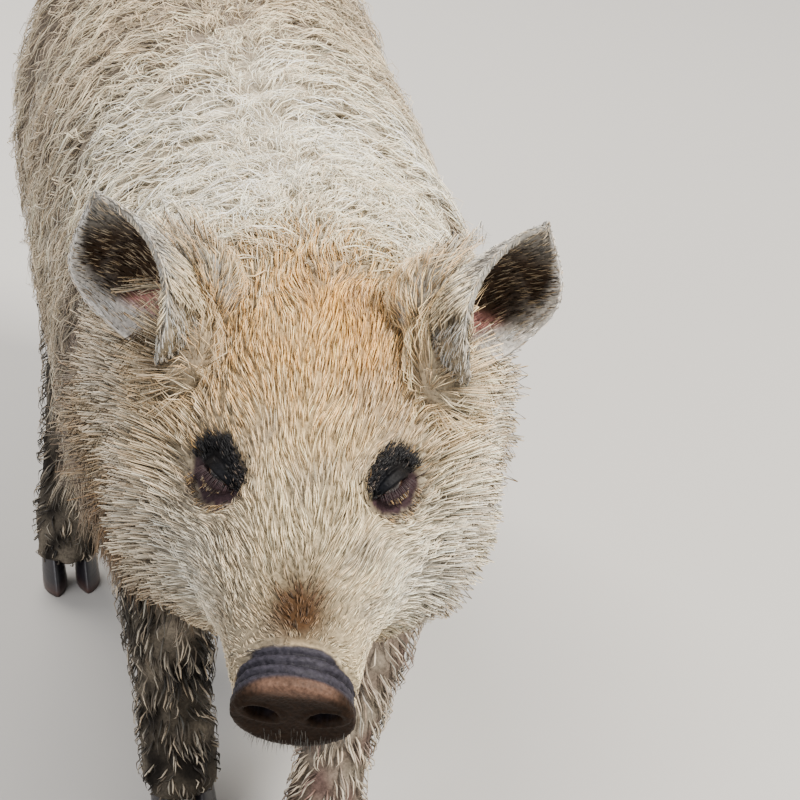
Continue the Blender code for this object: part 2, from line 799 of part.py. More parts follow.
def part_body(body, parts, scratch):
    """Cuts the whole body into its nodes and returns them by name."""
    (nape, nape_forward), (muzzle, forward) = head_planes()
    lean = neck_forward()
    nodes = {}
    for name, rows in LEGS.items():
        leg = new_object(name, body.data.copy(), parts)
        object_from(leg_sleeve(rows), "sleeve", scratch)
        boolean(leg, "INTERSECT", scratch)
        half_space("floor_cut", Vector((0, 0, LEG_FOOT)), Vector((0, 0, 1)), scratch)
        boolean(leg, "DIFFERENCE", scratch)
        sleeve = object_from(leg_sleeve(rows), "sleeve", scratch)
        swollen(sleeve.data, "sleeve_wide", scratch)
        bpy.data.objects.remove(sleeve, do_unlink=True)
        boolean(body, "DIFFERENCE", scratch)
        nodes[name] = leg
    head = new_object("head", body.data.copy(), parts)
    half_space("behind_head", nape + nape_forward * GAP, nape_forward, scratch)
    half_space("before_head", muzzle, -forward, scratch)
    boolean(head, "DIFFERENCE", scratch)
    neck = new_object("neck", body.data.copy(), parts)
    half_space("behind_neck", NECK_FOOT + lean * GAP, lean, scratch)
    half_space("before_neck", nape, -nape_forward, scratch)
    boolean(neck, "DIFFERENCE", scratch)
    torso = new_object("torso", body.data, parts)
    half_space("before_torso", NECK_FOOT, -lean, scratch)
    boolean(torso, "DIFFERENCE", scratch)
    nodes.update(head=head, neck=neck, torso=torso)
    for node in nodes.values():
        keep_largest_shell(node)
    return nodes


def add_snout(parts, scratch):
    bm = bmesh.new()
    add_head_loft(bm, SNOUT, 1, 20)
    close_up(bm)
    snout = object_from(bm, "snout", parts)
    middle, radii = NOSTRIL
    for side in (1, -1):
        bm = bmesh.new()
        slant = Matrix.Rotation(side * NOSTRIL_SLANT, 4, "Y")
        place = head_frame() @ Matrix.Translation(mirrored(middle, side)) @ slant
        add_ellipsoid(bm, Vector(), radii, place, 10, 6)
        object_from(bm, "nostril", scratch)
    boolean(snout, "DIFFERENCE", scratch)
    return snout


def add_eyes(parts):
    for side, name in ((1, "eye_left"), (-1, "eye_right")):
        bm = bmesh.new()
        add_ellipsoid(bm, mirrored(EYE_SPOT, side), (EYE_RADIUS,) * 3, head_frame(), *EYE_SIDES)
        object_from(bm, name, parts)


def ear_shell(side):
    """The cupped leaf of an ear, as an open grid given its thickness."""
    rise = mirrored(EAR_RISE, side).normalized()
    face = mirrored(EAR_FACE, side)
    frame = head_frame() @ axes_frame(mirrored(EAR_ROOT, side), rise, face)
    bm = bmesh.new()
    bmesh.ops.create_grid(bm, x_segments=EAR_GRID[0], y_segments=EAR_GRID[1], size=1.0)
    wave_start, wave_end = EAR_WAVE
    for vert in bm.verts:
        along = -EAR_SUNK + (1.0 + EAR_SUNK) * (vert.co.y + 1.0) / 2
        reach = max(along, 0.0)
        swell = math.sin(math.pi * (wave_start + (wave_end - wave_start) * reach))
        curl = EAR_CURL[0] + (EAR_CURL[1] - EAR_CURL[0]) * reach ** EAR_OPENS
        radius = EAR_HALF_WIDTH * swell ** EAR_FULLNESS / curl
        turn = curl * vert.co.x
        bulge = side * EAR_BULGE * math.sin(math.pi * reach)
        cup = radius * (math.cos(curl * EAR_CUP_SET) - math.cos(turn))
        vert.co = frame @ Vector((
            radius * math.sin(turn) + bulge, EAR_LENGTH * along, cup + EAR_NOD * reach ** 2,
        ))
    bmesh.ops.triangulate(bm, faces=bm.faces)
    return bm


def add_ears(core, parts, scratch):
    for side, name in ((1, "ear_left"), (-1, "ear_right")):
        ear = object_from(ear_shell(side), name, parts)
        wall = ear.modifiers.new("wall", "SOLIDIFY")
        wall.thickness = EAR_THICK
        wall.offset = 0.0
        apply_modifiers(ear)
        swollen(core, "core_wide", scratch)
        boolean(ear, "DIFFERENCE", scratch)
        keep_largest_shell(ear)


def claw_shape(bm, place):
    """One claw: a flat sole, an upright wall and a toe that leans forward."""
    rings = []
    for share, across, along, lean in CLAW_RINGS:
        ring = []
        for step in range(CLAW_SIDES):
            turn = math.tau * step / CLAW_SIDES
            narrowed = 1.0 - CLAW_TOE * max(-math.sin(turn), 0.0) ** 2
            ring.append(place @ Vector((
                CLAW_WIDTH / 2 * across * math.cos(turn) * narrowed,
                CLAW_LENGTH / 2 * along * math.sin(turn) + lean,
                CLAW_HEIGHT * share,
            )))
        rings.append(ring)
    add_loft(bm, rings)
    close_up(bm)


def dewclaw_shape(place, room=0.0):
    bm = bmesh.new()
    base, tip = (radius + room for radius in DEWCLAW_RADII)
    bmesh.ops.create_cone(
        bm, cap_ends=True, cap_tris=False, segments=10, radius1=base, radius2=tip,
        depth=DEWCLAW_LENGTH + 2 * room,
    )
    bmesh.ops.transform(bm, matrix=place, verts=bm.verts)
    bmesh.ops.triangulate(bm, faces=bm.faces)
    return bm


def add_hooves(nodes, parts, scratch):
    """Two claws under each leg and two dewclaws set into the back of it."""
    for leg_name, rows in LEGS.items():
        x, y, _, _, _ = rows[-1]
        heel = [row for row in smooth_rows(rows, 6) if row[2] >= DEWCLAW_HEIGHT][-1]
        for side, where in ((1, "left"), (-1, "right")):
            bm = bmesh.new()
            offset = side * (CLAW_WIDTH + CLAW_SPLIT) / 2
            claw_shape(bm, Matrix.Translation((x + offset, y - CLAW_FORWARD, 0.0)))
            object_from(bm, f"claw_{leg_name}_{where}", parts)
            back = heel[1] + heel[4] * DEWCLAW_SET
            spot = Vector((heel[0] + side * DEWCLAW_APART, back, heel[2]))
            lean = mirrored(DEWCLAW_LEAN, side).normalized()
            place = Matrix.Translation(spot) @ lean.to_track_quat("Z", "Y").to_matrix().to_4x4()
            object_from(dewclaw_shape(place), f"dewclaw_{leg_name}_{where}", parts)
            object_from(dewclaw_shape(place, GAP), "dewclaw_seat", scratch)
        boolean(nodes[leg_name], "DIFFERENCE", scratch)
        keep_largest_shell(nodes[leg_name])


def add_tail(core, parts, scratch):
    """A hanging tail with a tassel of locks along its lower end."""
    rows = smooth_rows(TAIL)
    path = [Vector(row[:3]) for row in rows]
    bm = bmesh.new()
    add_tube(bm, path, [row[3] for row in rows], TAIL_SIDES)
    tail = object_from(bm, "tail", parts)
    swollen(core, "core_wide", scratch)
    boolean(tail, "DIFFERENCE", scratch)
    keep_largest_shell(tail)
    count, length, half_width, half_thick = TASSEL
    near, far = TASSEL_OFF
    first = int(TASSEL_FROM * len(path))
    for i in range(count):
        turn = math.tau * 2 * i / count + i
        start = path[min(first + i * (len(path) - first) // count, len(path) - 2)]
        out = Vector((math.cos(turn), math.sin(turn), 0.0))
        across = Vector((0.0, 0.0, -1.0)).cross(out)
        rings = []
        for share, wide, thick, _ in LOCK_RINGS:
            sway = across * TASSEL_SWAY * math.sin(math.tau * share + turn)
            trail = Vector((0.0, TASSEL_BACK * share, -length * share))
            middle = start + out * (near + (far - near) * share) + sway + trail
            rings.append([
                middle + across * half_width * wide, middle + out * half_thick * thick,
                middle - across * half_width * wide, middle - out * half_thick * thick,
            ])
        bm = bmesh.new()
        add_loft(bm, rings)
        close_up(bm)
        object_from(bm, "tassel_lock", scratch)
    boolean(tail, "UNION", scratch)
    keep_largest_shell(tail)


# The colour, roughness and name of the stuff that each node shows, by the start of its name.
LOOKS = {
    "eye": ("wet_eye", (0.020, 0.014, 0.012), 0.12),
    "claw": ("hoof_horn", (0.045, 0.042, 0.048), 0.45),
    "dewclaw": ("hoof_horn", (0.045, 0.042, 0.048), 0.45),
    "snout": ("bare_snout", (0.110, 0.075, 0.072), 0.42),
    "ear": ("ear_hair", (0.330, 0.290, 0.250), 0.80),
    "foreleg": ("leg_hair", (0.240, 0.215, 0.190), 0.85),
    "hindleg": ("leg_hair", (0.240, 0.215, 0.190), 0.85),
    "head": ("face_hair", (0.560, 0.450, 0.310), 0.85),
    "": ("cream_coat", (0.620, 0.550, 0.430), 0.88),
}


def give_looks(parts):
    """Each node's own material, and smooth shading with its edges kept."""
    for obj in parts.objects:
        if obj.type != "MESH":
            continue
        stuff, colour, roughness = next(
            look for start, look in LOOKS.items() if obj.name.startswith(start)
        )
        material = bpy.data.materials.new(f"{stuff}_{obj.name}")
        material.use_nodes = True
        shader = material.node_tree.nodes["Principled BSDF"]
        shader.inputs["Base Color"].default_value = (*colour, 1.0)
        shader.inputs["Roughness"].default_value = roughness
        shader.inputs["Metallic"].default_value = 0.0
        obj.data.materials.clear()
        obj.data.materials.append(material)
        obj.data.shade_smooth()
        obj.data.set_sharp_from_angle(angle=math.radians(40))


def stand_on_origin(parts):
    """Hangs every node on one empty and moves the model's middle over the origin."""
    root = new_object("mangalica_pig_root", None, parts)
    for obj in parts.objects:
        if obj is root:
            continue
        obj.data.transform(Matrix.Translation(-BOX_MIDDLE))
        obj.parent = root


def main():
    clear_scene()
    parts = bpy.data.collections.new("mangalica_pig")
    scratch = bpy.data.collections.new("cutters")
    scratch.hide_render = True
    for collection in (parts, scratch):
        bpy.context.scene.collection.children.link(collection)
    fine, core = fused_body(scratch)
    route = mouth_route(tree_of(core))
    body = new_object("body", core.copy(), parts)
    add_coat(body, fine, scratch)
    add_eyelids(body, scratch)
    add_lips(body, route, scratch)
    eye_cutters(scratch)
    mouth_cutter(route, scratch)
    boolean(body, "DIFFERENCE", scratch)
    nodes = part_body(body, parts, scratch)
    bpy.data.objects.remove(body, do_unlink=True)
    add_snout(parts, scratch)
    add_eyes(parts)
    add_ears(core, parts, scratch)
    add_hooves(nodes, parts, scratch)
    add_tail(core, parts, scratch)
    give_looks(parts)
    stand_on_origin(parts)


main()
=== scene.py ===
import json
import math

import bmesh
import bpy
import numpy as np
from mathutils import Matrix, Quaternion, Vector
from mathutils.bvhtree import BVHTree
from mathutils.kdtree import KDTree

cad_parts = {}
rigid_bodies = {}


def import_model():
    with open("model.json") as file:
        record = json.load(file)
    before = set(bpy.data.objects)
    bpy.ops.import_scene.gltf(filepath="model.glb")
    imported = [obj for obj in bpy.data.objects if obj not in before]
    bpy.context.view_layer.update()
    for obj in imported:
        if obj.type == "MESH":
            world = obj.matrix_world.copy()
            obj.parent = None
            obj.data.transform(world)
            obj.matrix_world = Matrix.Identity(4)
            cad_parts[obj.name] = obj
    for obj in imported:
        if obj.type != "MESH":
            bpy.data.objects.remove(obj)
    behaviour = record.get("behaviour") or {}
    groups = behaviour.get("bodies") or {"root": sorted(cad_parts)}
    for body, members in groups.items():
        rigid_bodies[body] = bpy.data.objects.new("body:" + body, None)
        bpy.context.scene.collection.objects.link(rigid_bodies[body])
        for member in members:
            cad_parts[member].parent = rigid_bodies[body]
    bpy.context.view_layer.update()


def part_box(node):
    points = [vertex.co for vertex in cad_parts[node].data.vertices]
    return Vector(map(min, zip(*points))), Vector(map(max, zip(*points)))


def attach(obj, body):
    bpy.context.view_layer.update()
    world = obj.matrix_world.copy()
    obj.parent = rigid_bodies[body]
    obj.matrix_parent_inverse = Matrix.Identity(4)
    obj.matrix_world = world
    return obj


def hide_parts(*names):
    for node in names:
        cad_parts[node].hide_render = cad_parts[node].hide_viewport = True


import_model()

# The skin: one closed hide over trunk, neck, legs, tail, head and ears, under the coat by its
# depth. It is lofted from the pig's sections, fused, and then worked like clay: the flanks get
# the ridges of the curly coat, and the face its lids, nostrils, lips and wrinkles.
TRUNK = (
    (-0.325, 0.325, 0.352, 0.385, 0.038),
    (-0.300, 0.278, 0.345, 0.425, 0.078),
    (-0.245, 0.232, 0.340, 0.472, 0.110),
    (-0.160, 0.204, 0.334, 0.496, 0.128),
    (-0.060, 0.198, 0.328, 0.503, 0.133),
    (0.060, 0.196, 0.328, 0.508, 0.137),
    (0.170, 0.208, 0.336, 0.510, 0.135),
    (0.250, 0.232, 0.350, 0.502, 0.129),
    (0.320, 0.262, 0.360, 0.480, 0.114),
    (0.368, 0.298, 0.368, 0.448, 0.088),
    (0.400, 0.335, 0.375, 0.415, 0.050),
)
NECK = (
    (0.000, -0.150, 0.215, 0.345, 0.490, 0.112),
    (0.000, -0.240, 0.242, 0.362, 0.497, 0.110),
    (-0.004, -0.310, 0.282, 0.380, 0.499, 0.104),
    (-0.010, -0.360, 0.312, 0.390, 0.497, 0.098),
    (-0.014, -0.400, 0.332, 0.396, 0.488, 0.088),
    (-0.018, -0.440, 0.342, 0.398, 0.462, 0.070),
)
SHOULDER = ((0.056, -0.160, 0.315), (0.080, 0.135, 0.150))
HAUNCH = ((0.052, 0.262, 0.335), (0.090, 0.138, 0.155))
LEGS = {
    "foreleg_left": (
        (0.078, -0.185, 0.320, 0.046, 0.082),
        (0.070, -0.205, 0.245, 0.042, 0.058),
        (0.050, -0.240, 0.190, 0.033, 0.038),
        (0.030, -0.262, 0.145, 0.030, 0.033),
        (0.008, -0.288, 0.095, 0.025, 0.027),
        (-0.004, -0.304, 0.058, 0.028, 0.029),
        (-0.010, -0.318, 0.024, 0.028, 0.029),
    ),
    "foreleg_right": (
        (-0.080, -0.165, 0.320, 0.046, 0.082),
        (-0.083, -0.166, 0.245, 0.042, 0.058),
        (-0.085, -0.176, 0.190, 0.033, 0.038),
        (-0.086, -0.178, 0.145, 0.030, 0.033),
        (-0.086, -0.172, 0.095, 0.025, 0.027),
        (-0.086, -0.178, 0.058, 0.028, 0.029),
        (-0.086, -0.192, 0.024, 0.028, 0.029),
    ),
    "hindleg_left": (
        (0.082, 0.280, 0.330, 0.050, 0.105),
        (0.086, 0.306, 0.250, 0.044, 0.072),
        (0.089, 0.356, 0.188, 0.031, 0.042),
        (0.090, 0.374, 0.142, 0.026, 0.033),
        (0.088, 0.360, 0.092, 0.025, 0.028),
        (0.087, 0.348, 0.056, 0.028, 0.029),
        (0.087, 0.332, 0.024, 0.028, 0.029),
    ),
    "hindleg_right": (
        (-0.084, 0.245, 0.330, 0.050, 0.105),
        (-0.096, 0.228, 0.250, 0.044, 0.074),
        (-0.110, 0.238, 0.186, 0.032, 0.044),
        (-0.122, 0.228, 0.140, 0.026, 0.033),
        (-0.131, 0.196, 0.092, 0.025, 0.028),
        (-0.138, 0.176, 0.056, 0.028, 0.029),
        (-0.142, 0.160, 0.024, 0.028, 0.029),
    ),
}
COAT_DEPTH = 0.0020
LEG_COAT_DEPTH = 0.0016
BODY_VOXEL = 0.0054
RING_POINTS = 40

# The pig's shapes are drawn in its own frame, facing -Y with its left side at +X, and its head's
# in a frame of its own that hangs from the poll: turned, dipped and tilted. The left eye of the
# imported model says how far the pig's own frame lies from the model's.
POLL = Vector((-0.002, -0.405, 0.490))
HEAD_TURN = math.radians(-11.5)
HEAD_DIP = math.radians(21)
HEAD_TILT = math.radians(7)
EYE_SPOT = Vector((0.0400, -0.1115, -0.0430))

HEAD_PLACE = (
    Matrix.Translation(POLL) @ Matrix.Rotation(HEAD_TURN, 4, "Z")
    @ Matrix.Rotation(HEAD_DIP, 4, "X") @ Matrix.Rotation(HEAD_TILT, 4, "Y")
)
INTO_HEAD = HEAD_PLACE.inverted()
eye_low, eye_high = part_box("eye_left")
SHIFT = (eye_low + eye_high) / 2 - HEAD_PLACE @ EYE_SPOT
SIDES = {"left": 1, "right": -1}


scene = bpy.context.scene


def linked(name, data):
    obj = bpy.data.objects.new(name, data)
    scene.collection.objects.link(obj)
    return obj


def add_loft(bm, rings):
    """A closed body through rings of equally many points."""
    loops = []
    for ring in rings:
        verts = bmesh.ops.create_circle(bm, segments=len(ring), radius=1.0)["verts"]
        for vert, point in zip(verts, ring):
            vert.co = point
        loops.append([bm.edges.get((verts[i - 1], verts[i])) for i in range(len(verts))])
    for first, second in zip(loops, loops[1:]):
        bmesh.ops.bridge_loops(bm, edges=first + second)
    for loop in (loops[0], loops[-1]):
        bmesh.ops.contextual_create(bm, geom=loop)


def egg(half_width, low, wide, high, points=RING_POINTS):
    """An egg section, as (sideways, upwards) pairs."""
    outline = []
    for step in range(points):
        turn = math.tau * step / points
        height = (high - wide) if math.sin(turn) > 0 else (wide - low)
        outline.append((half_width * math.cos(turn), wide + height * math.sin(turn)))
    return outline


def smooth_rows(rows, per_span=4):
    """The rows with more between them, on a Catmull-Rom curve through every column."""
    made = []
    for i in range(len(rows) - 1):
        before, start = rows[max(i - 1, 0)], rows[i]
        end, after = rows[i + 1], rows[min(i + 2, len(rows) - 1)]
        for step in range(per_span):
            t = step / per_span
            made.append(tuple(
                0.5 * (2 * b + (c - a) * t + (2 * a - 5 * b + 4 * c - d) * t * t
                       + (3 * b - a - 3 * c + d) * t ** 3)
                for a, b, c, d in zip(before, start, end, after)
            ))
    made.append(tuple(rows[-1]))
    return made


def add_ball(bm, middle, radii, segments=32, rings=20):
    shape = Matrix.Translation(middle) @ Matrix.Diagonal((*radii, 1.0))
    made = bmesh.ops.create_uvsphere(bm, u_segments=segments, v_segments=rings, radius=1.0)
    bmesh.ops.transform(bm, matrix=shape, verts=made["verts"])


def mirrored(spot, side):
    """A spot or a way on the pig's left as it is on that side."""
    return Vector((side * spot.x, spot.y, spot.z))


def add_pair(bm, mass, depth):
    middle, radii = mass
    for side in SIDES.values():
        add_ball(bm, (side * middle[0], *middle[1:]), [radius - depth for radius in radii])


def mesh_from(bm, name):
    mesh = bpy.data.meshes.new(name)
    bm.to_mesh(mesh)
    bm.free()
    return mesh


def triangles_from(bm, name):
    """The closed bodies as a mesh of triangles that face outwards."""
    bmesh.ops.recalc_face_normals(bm, faces=bm.faces)
    bmesh.ops.triangulate(bm, faces=bm.faces)
    return mesh_from(bm, name)


def modified(mesh, name, *steps):
    """The mesh after the modifiers, each given as its type and its settings."""
    holder = linked(name, mesh)
    for kind, settings in steps:
        tool = holder.modifiers.new(kind.lower(), kind)
        for key, value in settings.items():
            setattr(tool, key, value)
    bpy.context.view_layer.update()
    graph = bpy.context.evaluated_depsgraph_get()
    made = bpy.data.meshes.new_from_object(holder.evaluated_get(graph))
    bpy.data.objects.remove(holder)
    return made


def fused(bm, name, voxel, rounds):
    """The overlapping bodies as one closed surface, smoothed in so many rounds."""
    bmesh.ops.recalc_face_normals(bm, faces=bm.faces)
    remesh = ("REMESH", {"mode": "VOXEL", "voxel_size": voxel})
    smooth = ("SMOOTH", {"factor": 0.5, "iterations": rounds})
    return modified(mesh_from(bm, name), name, remesh, smooth)


def points_of(mesh):
    places = np.empty(len(mesh.vertices) * 3, np.float32)
    mesh.vertices.foreach_get("co", places)
    return places.reshape(-1, 3).astype(float)


def normals_of(mesh):
    normals = np.empty(len(mesh.vertices) * 3, np.float32)
    mesh.vertex_normals.foreach_get("vector", normals)
    return normals.reshape(-1, 3).astype(float)


def move_points(mesh, places):
    mesh.vertices.foreach_set("co", places.astype(np.float32).ravel())
    mesh.update()


def ease(values, start, end):
    """0 before the start, 1 after the end, and smooth between them."""
    t = np.clip((values - start) / (end - start), 0.0, 1.0)
    return t * t * (3 - 2 * t)


def bump_at(values, middle, width):
    return np.exp(-(((values - middle) / width) ** 2))


def unit(vectors):
    return vectors / np.maximum(np.linalg.norm(vectors, axis=-1, keepdims=True), 1e-9)


def waves(points, size, seed, count=10):
    """Smooth noise between about -1 and 1, a sum of plane waves of about the given size."""
    draw = np.random.default_rng(seed)
    ways = unit(draw.normal(size=(count, 3))) * (math.tau / size)
    ways *= draw.uniform(0.6, 1.5, (count, 1))
    phases = draw.uniform(0, math.tau, count)
    return np.sin(points @ ways.T + phases).sum(1) / math.sqrt(count / 2) / 1.4


def carried(places, matrix):
    matrix = np.array(matrix)
    return places @ matrix[:3, :3].T + matrix[:3, 3]


# The curls of the flank stand in ridges that run down from the spine, side by side along the
# trunk and crimped like a wave as they go down.
RIDGE_APART = 0.027
RIDGE_HEIGHT = 0.0098
CRIMP = 0.0048
CRIMP_LENGTH = 0.036
FLANK_AXIS = 0.350
FLANK_GIRTH = 0.150
RUMP_AXIS = 0.25
RUMP_GIRTH = 0.135


def ridge_place(places):
    """The ridge count: whole numbers on the ridges' tops, halves in the hollows."""
    turn = np.arctan2(np.abs(places[:, 0]), places[:, 2] - FLANK_AXIS)
    down = turn * FLANK_GIRTH
    wander = 0.012 * waves(places, 0.30, 11) + 0.006 * waves(places, 0.09, 12)
    crimp = CRIMP * np.sin(math.tau * down / CRIMP_LENGTH + 1.9 * waves(places, 0.13, 13))
    round_rump = RUMP_GIRTH * np.arctan2(np.maximum(places[:, 1] - RUMP_AXIS, 0.0),
                                         np.abs(places[:, 0]) + 0.004)
    back = np.minimum(places[:, 1], RUMP_AXIS) + round_rump
    return (back + crimp + wander - 0.10 * down) / RIDGE_APART


def ridge_way(places):
    """The way over the ridges: backwards on the flank, and round towards the tail behind."""
    behind = np.maximum(places[:, 1] - RUMP_AXIS, 0.0)
    side = np.sign(places[:, 0])
    return unit(np.stack((-side * behind, np.abs(places[:, 0]) + 0.004, 0 * side), 1))


def ridge_weight(places):
    """Where the coat stands in ridges: on flanks, rump and the sides of the neck."""
    side = ease(np.abs(places[:, 0]), 0.005, 0.040)
    low = ease(places[:, 2], 0.215, 0.260)
    ahead = ease(-places[:, 1], -0.10, 0.36)
    broken = 0.86 + 0.22 * waves(places, 0.10, 15)
    return np.clip(low * (0.36 + 0.64 * side) * (1.0 - 0.34 * ahead) * broken, 0.0, 1.0)


def ridge_hollow(places):
    """1 in the hollows between ridges and 0 on their tops and where the coat is plain."""
    return (0.5 - 0.5 * np.cos(math.tau * ridge_place(places))) * ridge_weight(places)


bm = bmesh.new()
rings = []
for y, low, wide, high, half in smooth_rows(TRUNK):
    outline = egg(max(half - COAT_DEPTH, 0.01), low + COAT_DEPTH, wide, high - COAT_DEPTH)
    rings.append([Vector((x, y, z)) for x, z in outline])
add_loft(bm, rings)
rings = []
for x, y, low, wide, high, half in smooth_rows(NECK):
    outline = egg(half - COAT_DEPTH, low + COAT_DEPTH, wide, high - COAT_DEPTH)
    rings.append([Vector((x + side, y, z)) for side, z in outline])
add_loft(bm, rings)
for rows in LEGS.values():
    rings = []
    for x, y, z, across, along in smooth_rows(rows):
        bare = LEG_COAT_DEPTH + (COAT_DEPTH - LEG_COAT_DEPTH) * min(max((z - 0.2) / 0.1, 0), 1)
        outline = egg(across - bare, bare - along, 0.0, along - bare)
        rings.append([Vector((x + side, y + back, z)) for side, back in outline])
    add_loft(bm, rings)
add_pair(bm, SHOULDER, COAT_DEPTH)
add_pair(bm, HAUNCH, COAT_DEPTH)
body_mesh = fused(bm, "body_skin", BODY_VOXEL, 9)
places, normals = points_of(body_mesh), normals_of(body_mesh)
rise = RIDGE_HEIGHT * (ridge_weight(places) - ridge_hollow(places))
on_leg = 1.0 - ease(places[:, 2], 0.215, 0.250)
rise = rise + 0.0012 * on_leg * waves(places, 0.022, 14)
move_points(body_mesh, places + normals * rise[:, None])
body_mesh = modified(body_mesh, "body_skin", ("TRIANGULATE", {}))

# The tail is a lofted tube of its own that joins the rump.
TAIL = (
    (0.000, 0.370, 0.452, 0.0150),
    (0.004, 0.405, 0.446, 0.0130),
    (0.010, 0.430, 0.424, 0.0110),
    (0.012, 0.441, 0.388, 0.0095),
    (0.006, 0.444, 0.348, 0.0085),
    (-0.004, 0.447, 0.306, 0.0075),
    (-0.010, 0.456, 0.270, 0.0060),
)
TAIL_COAT_DEPTH = 0.0020
TAIL_POINTS = 20

bm = bmesh.new()
tail_rows = smooth_rows(TAIL)
tail_path = [Vector(row[:3]) for row in tail_rows]
rings = []
for i, (x, y, z, radius) in enumerate(tail_rows):
    along = tail_path[min(i + 1, len(tail_path) - 1)] - tail_path[max(i - 1, 0)]
    turn = Vector((0, 0, 1)).rotation_difference(along).to_matrix()
    bare = radius - TAIL_COAT_DEPTH
    rings.append([Vector((x, y, z)) + turn @ Vector((side, up, 0))
                  for side, up in egg(bare, -bare, 0.0, bare, TAIL_POINTS)])
add_loft(bm, rings)
tail_mesh = triangles_from(bm, "tail_skin")

# The head is worked in its own frame, in metres from the poll: sideways, back, up.
HEAD = (
    (-0.040, -0.130, -0.080, -0.026, 0.060),
    (-0.010, -0.156, -0.092, -0.006, 0.079),
    (0.030, -0.168, -0.100, 0.004, 0.091),
    (0.068, -0.166, -0.100, 0.000, 0.090),
    (0.100, -0.156, -0.094, -0.012, 0.081),
    (0.125, -0.147, -0.089, -0.029, 0.068),
    (0.149, -0.139, -0.086, -0.042, 0.056),
    (0.172, -0.128, -0.081, -0.048, 0.044),
    (0.194, -0.119, -0.079, -0.050, 0.038),
    (0.218, -0.108, -0.077, -0.050, 0.034),
)
JAW = (
    (0.010, -0.172, -0.130, -0.090, 0.058),
    (0.070, -0.174, -0.128, -0.090, 0.056),
    (0.118, -0.165, -0.122, -0.090, 0.050),
    (0.155, -0.150, -0.116, -0.090, 0.040),
    (0.182, -0.137, -0.112, -0.090, 0.030),
    (0.200, -0.124, -0.107, -0.093, 0.021),
)
SNOUT = (
    (0.200, -0.114, -0.077, -0.0500, 0.0350),
    (0.220, -0.107, -0.077, -0.0495, 0.0318),
    (0.230, -0.103, -0.077, -0.0500, 0.0308),
    (0.237, -0.102, -0.077, -0.0490, 0.0322),
    (0.242, -0.1015, -0.077, -0.0485, 0.0328),
    (0.2455, -0.0985, -0.077, -0.0510, 0.0308),
    (0.2445, -0.0940, -0.077, -0.0565, 0.0258),
    (0.2435, -0.0885, -0.077, -0.0635, 0.0160),
)
CHEEK = ((0.039, -0.050, -0.114), (0.055, 0.100, 0.063))
BROW = ((0.031, -0.090, -0.045), (0.024, 0.042, 0.025))
EAR_BASE = ((0.061, -0.013, -0.004), (0.021, 0.018, 0.031))
EAR_FOOT = ((0.0665, -0.041, -0.025), (0.0180, 0.029, 0.030))
FACE_COAT_DEPTH = 0.0008
HEAD_VOXEL = 0.0020
EYE_RADIUS = 0.0110
EYE_SHIFT = Vector((0.0012, 0.0008, -0.0012))
EYE_LOOK = Vector((0.60, -0.65, 0.47)).normalized()
LID_CORNERS = Vector((-0.85, -0.40, -0.15))
LID_RADIUS = 0.0136
LID_REACH = (0.0140, 0.0235)
LID_REFINED = (0.0215, 0.0160)
LID_SLIT = (0.0112, 0.0019)
LID_CREASES = ((0.0098, 0.0018, 0.0014), (-0.0070, 0.0012, 0.0011), (-0.0115, 0.0009, 0.0013))
NOSTRIL_SPOT = (0.0165, -0.0745)
NOSTRIL_RADII = (0.0092, 0.0046)
NOSTRIL_SLANT = math.radians(22)
NOSTRIL_DEPTH = 0.0130
SNOUT_FOLD = 0.0062
SNOUT_LEAN = 0.085
MOUTH = (
    (0.000, -0.206, -0.116),
    (0.022, -0.200, -0.114),
    (0.034, -0.182, -0.113),
    (0.044, -0.158, -0.114),
    (0.054, -0.132, -0.116),
    (0.062, -0.108, -0.111),
)


def refine(bm, wanted):
    """Halves the edges of the faces whose middle is wanted."""
    edges = {edge for face in bm.faces if wanted(face.calc_center_median()) for edge in face.edges}
    bmesh.ops.subdivide_edges(bm, edges=list(edges), cuts=1, use_grid_fill=True)


def lid_axes(side):
    """The middle of an eye, where it looks, the way to its inner corner, and its upward way."""
    look, corner = np.array(mirrored(EYE_LOOK, side)), np.array(mirrored(LID_CORNERS, side))
    corner = unit(corner - look * (corner @ look))
    up = np.cross(corner, look) * side
    return np.array(mirrored(EYE_SPOT + EYE_SHIFT, side)), look, corner, up


def snout_folds(own):
    """The folds across the snout's top: 0 in the creases and 1 on the folds between them."""
    waver = 0.5 * waves(own, 0.05, 21)
    return np.abs(np.sin(math.pi * (-own[:, 1] - 0.2350) / SNOUT_FOLD + waver))


def distance_to_route(places, route):
    """How far each place is from a line through the route's points."""
    nearest = np.full(len(places), 1.0)
    for start, end in zip(route, route[1:]):
        start, along = np.array(start), np.array(end) - np.array(start)
        share = np.clip((places - start) @ along / (along @ along), 0, 1)
        nearest = np.minimum(nearest, np.linalg.norm(places - start - share[:, None] * along, axis=1))
    return nearest


bm = bmesh.new()
for rows in (HEAD, JAW, SNOUT):
    rings = []
    for ahead, low, wide, high, half in smooth_rows(rows, 3):
        bare = FACE_COAT_DEPTH if rows is not SNOUT else 0.0
        outline = egg(half - bare, low + bare, wide, high - bare)
        rings.append([Vector((side, -ahead, up)) for side, up in outline])
    add_loft(bm, rings)
add_pair(bm, CHEEK, FACE_COAT_DEPTH)
add_pair(bm, BROW, FACE_COAT_DEPTH)
add_pair(bm, EAR_BASE, 0.0)
add_pair(bm, EAR_FOOT, 0.0)
head_mesh = fused(bm, "head_skin", HEAD_VOXEL, 5)
mouth_route = [(-x, y, z) for x, y, z in MOUTH[:0:-1]] + list(MOUTH)
bm = bmesh.new()
bm.from_mesh(head_mesh)
eye_spots = [Vector(lid_axes(side)[0]) for side in SIDES.values()]
refine(bm, lambda spot: spot.y < -0.212)
refine(bm, lambda spot: -0.130 < spot.z < -0.095 and -0.215 < spot.y < -0.098)
for reach in LID_REFINED:
    refine(bm, lambda spot: min((spot - eye).length for eye in eye_spots) < reach)
head_mesh = mesh_from(bm, "head_skin")
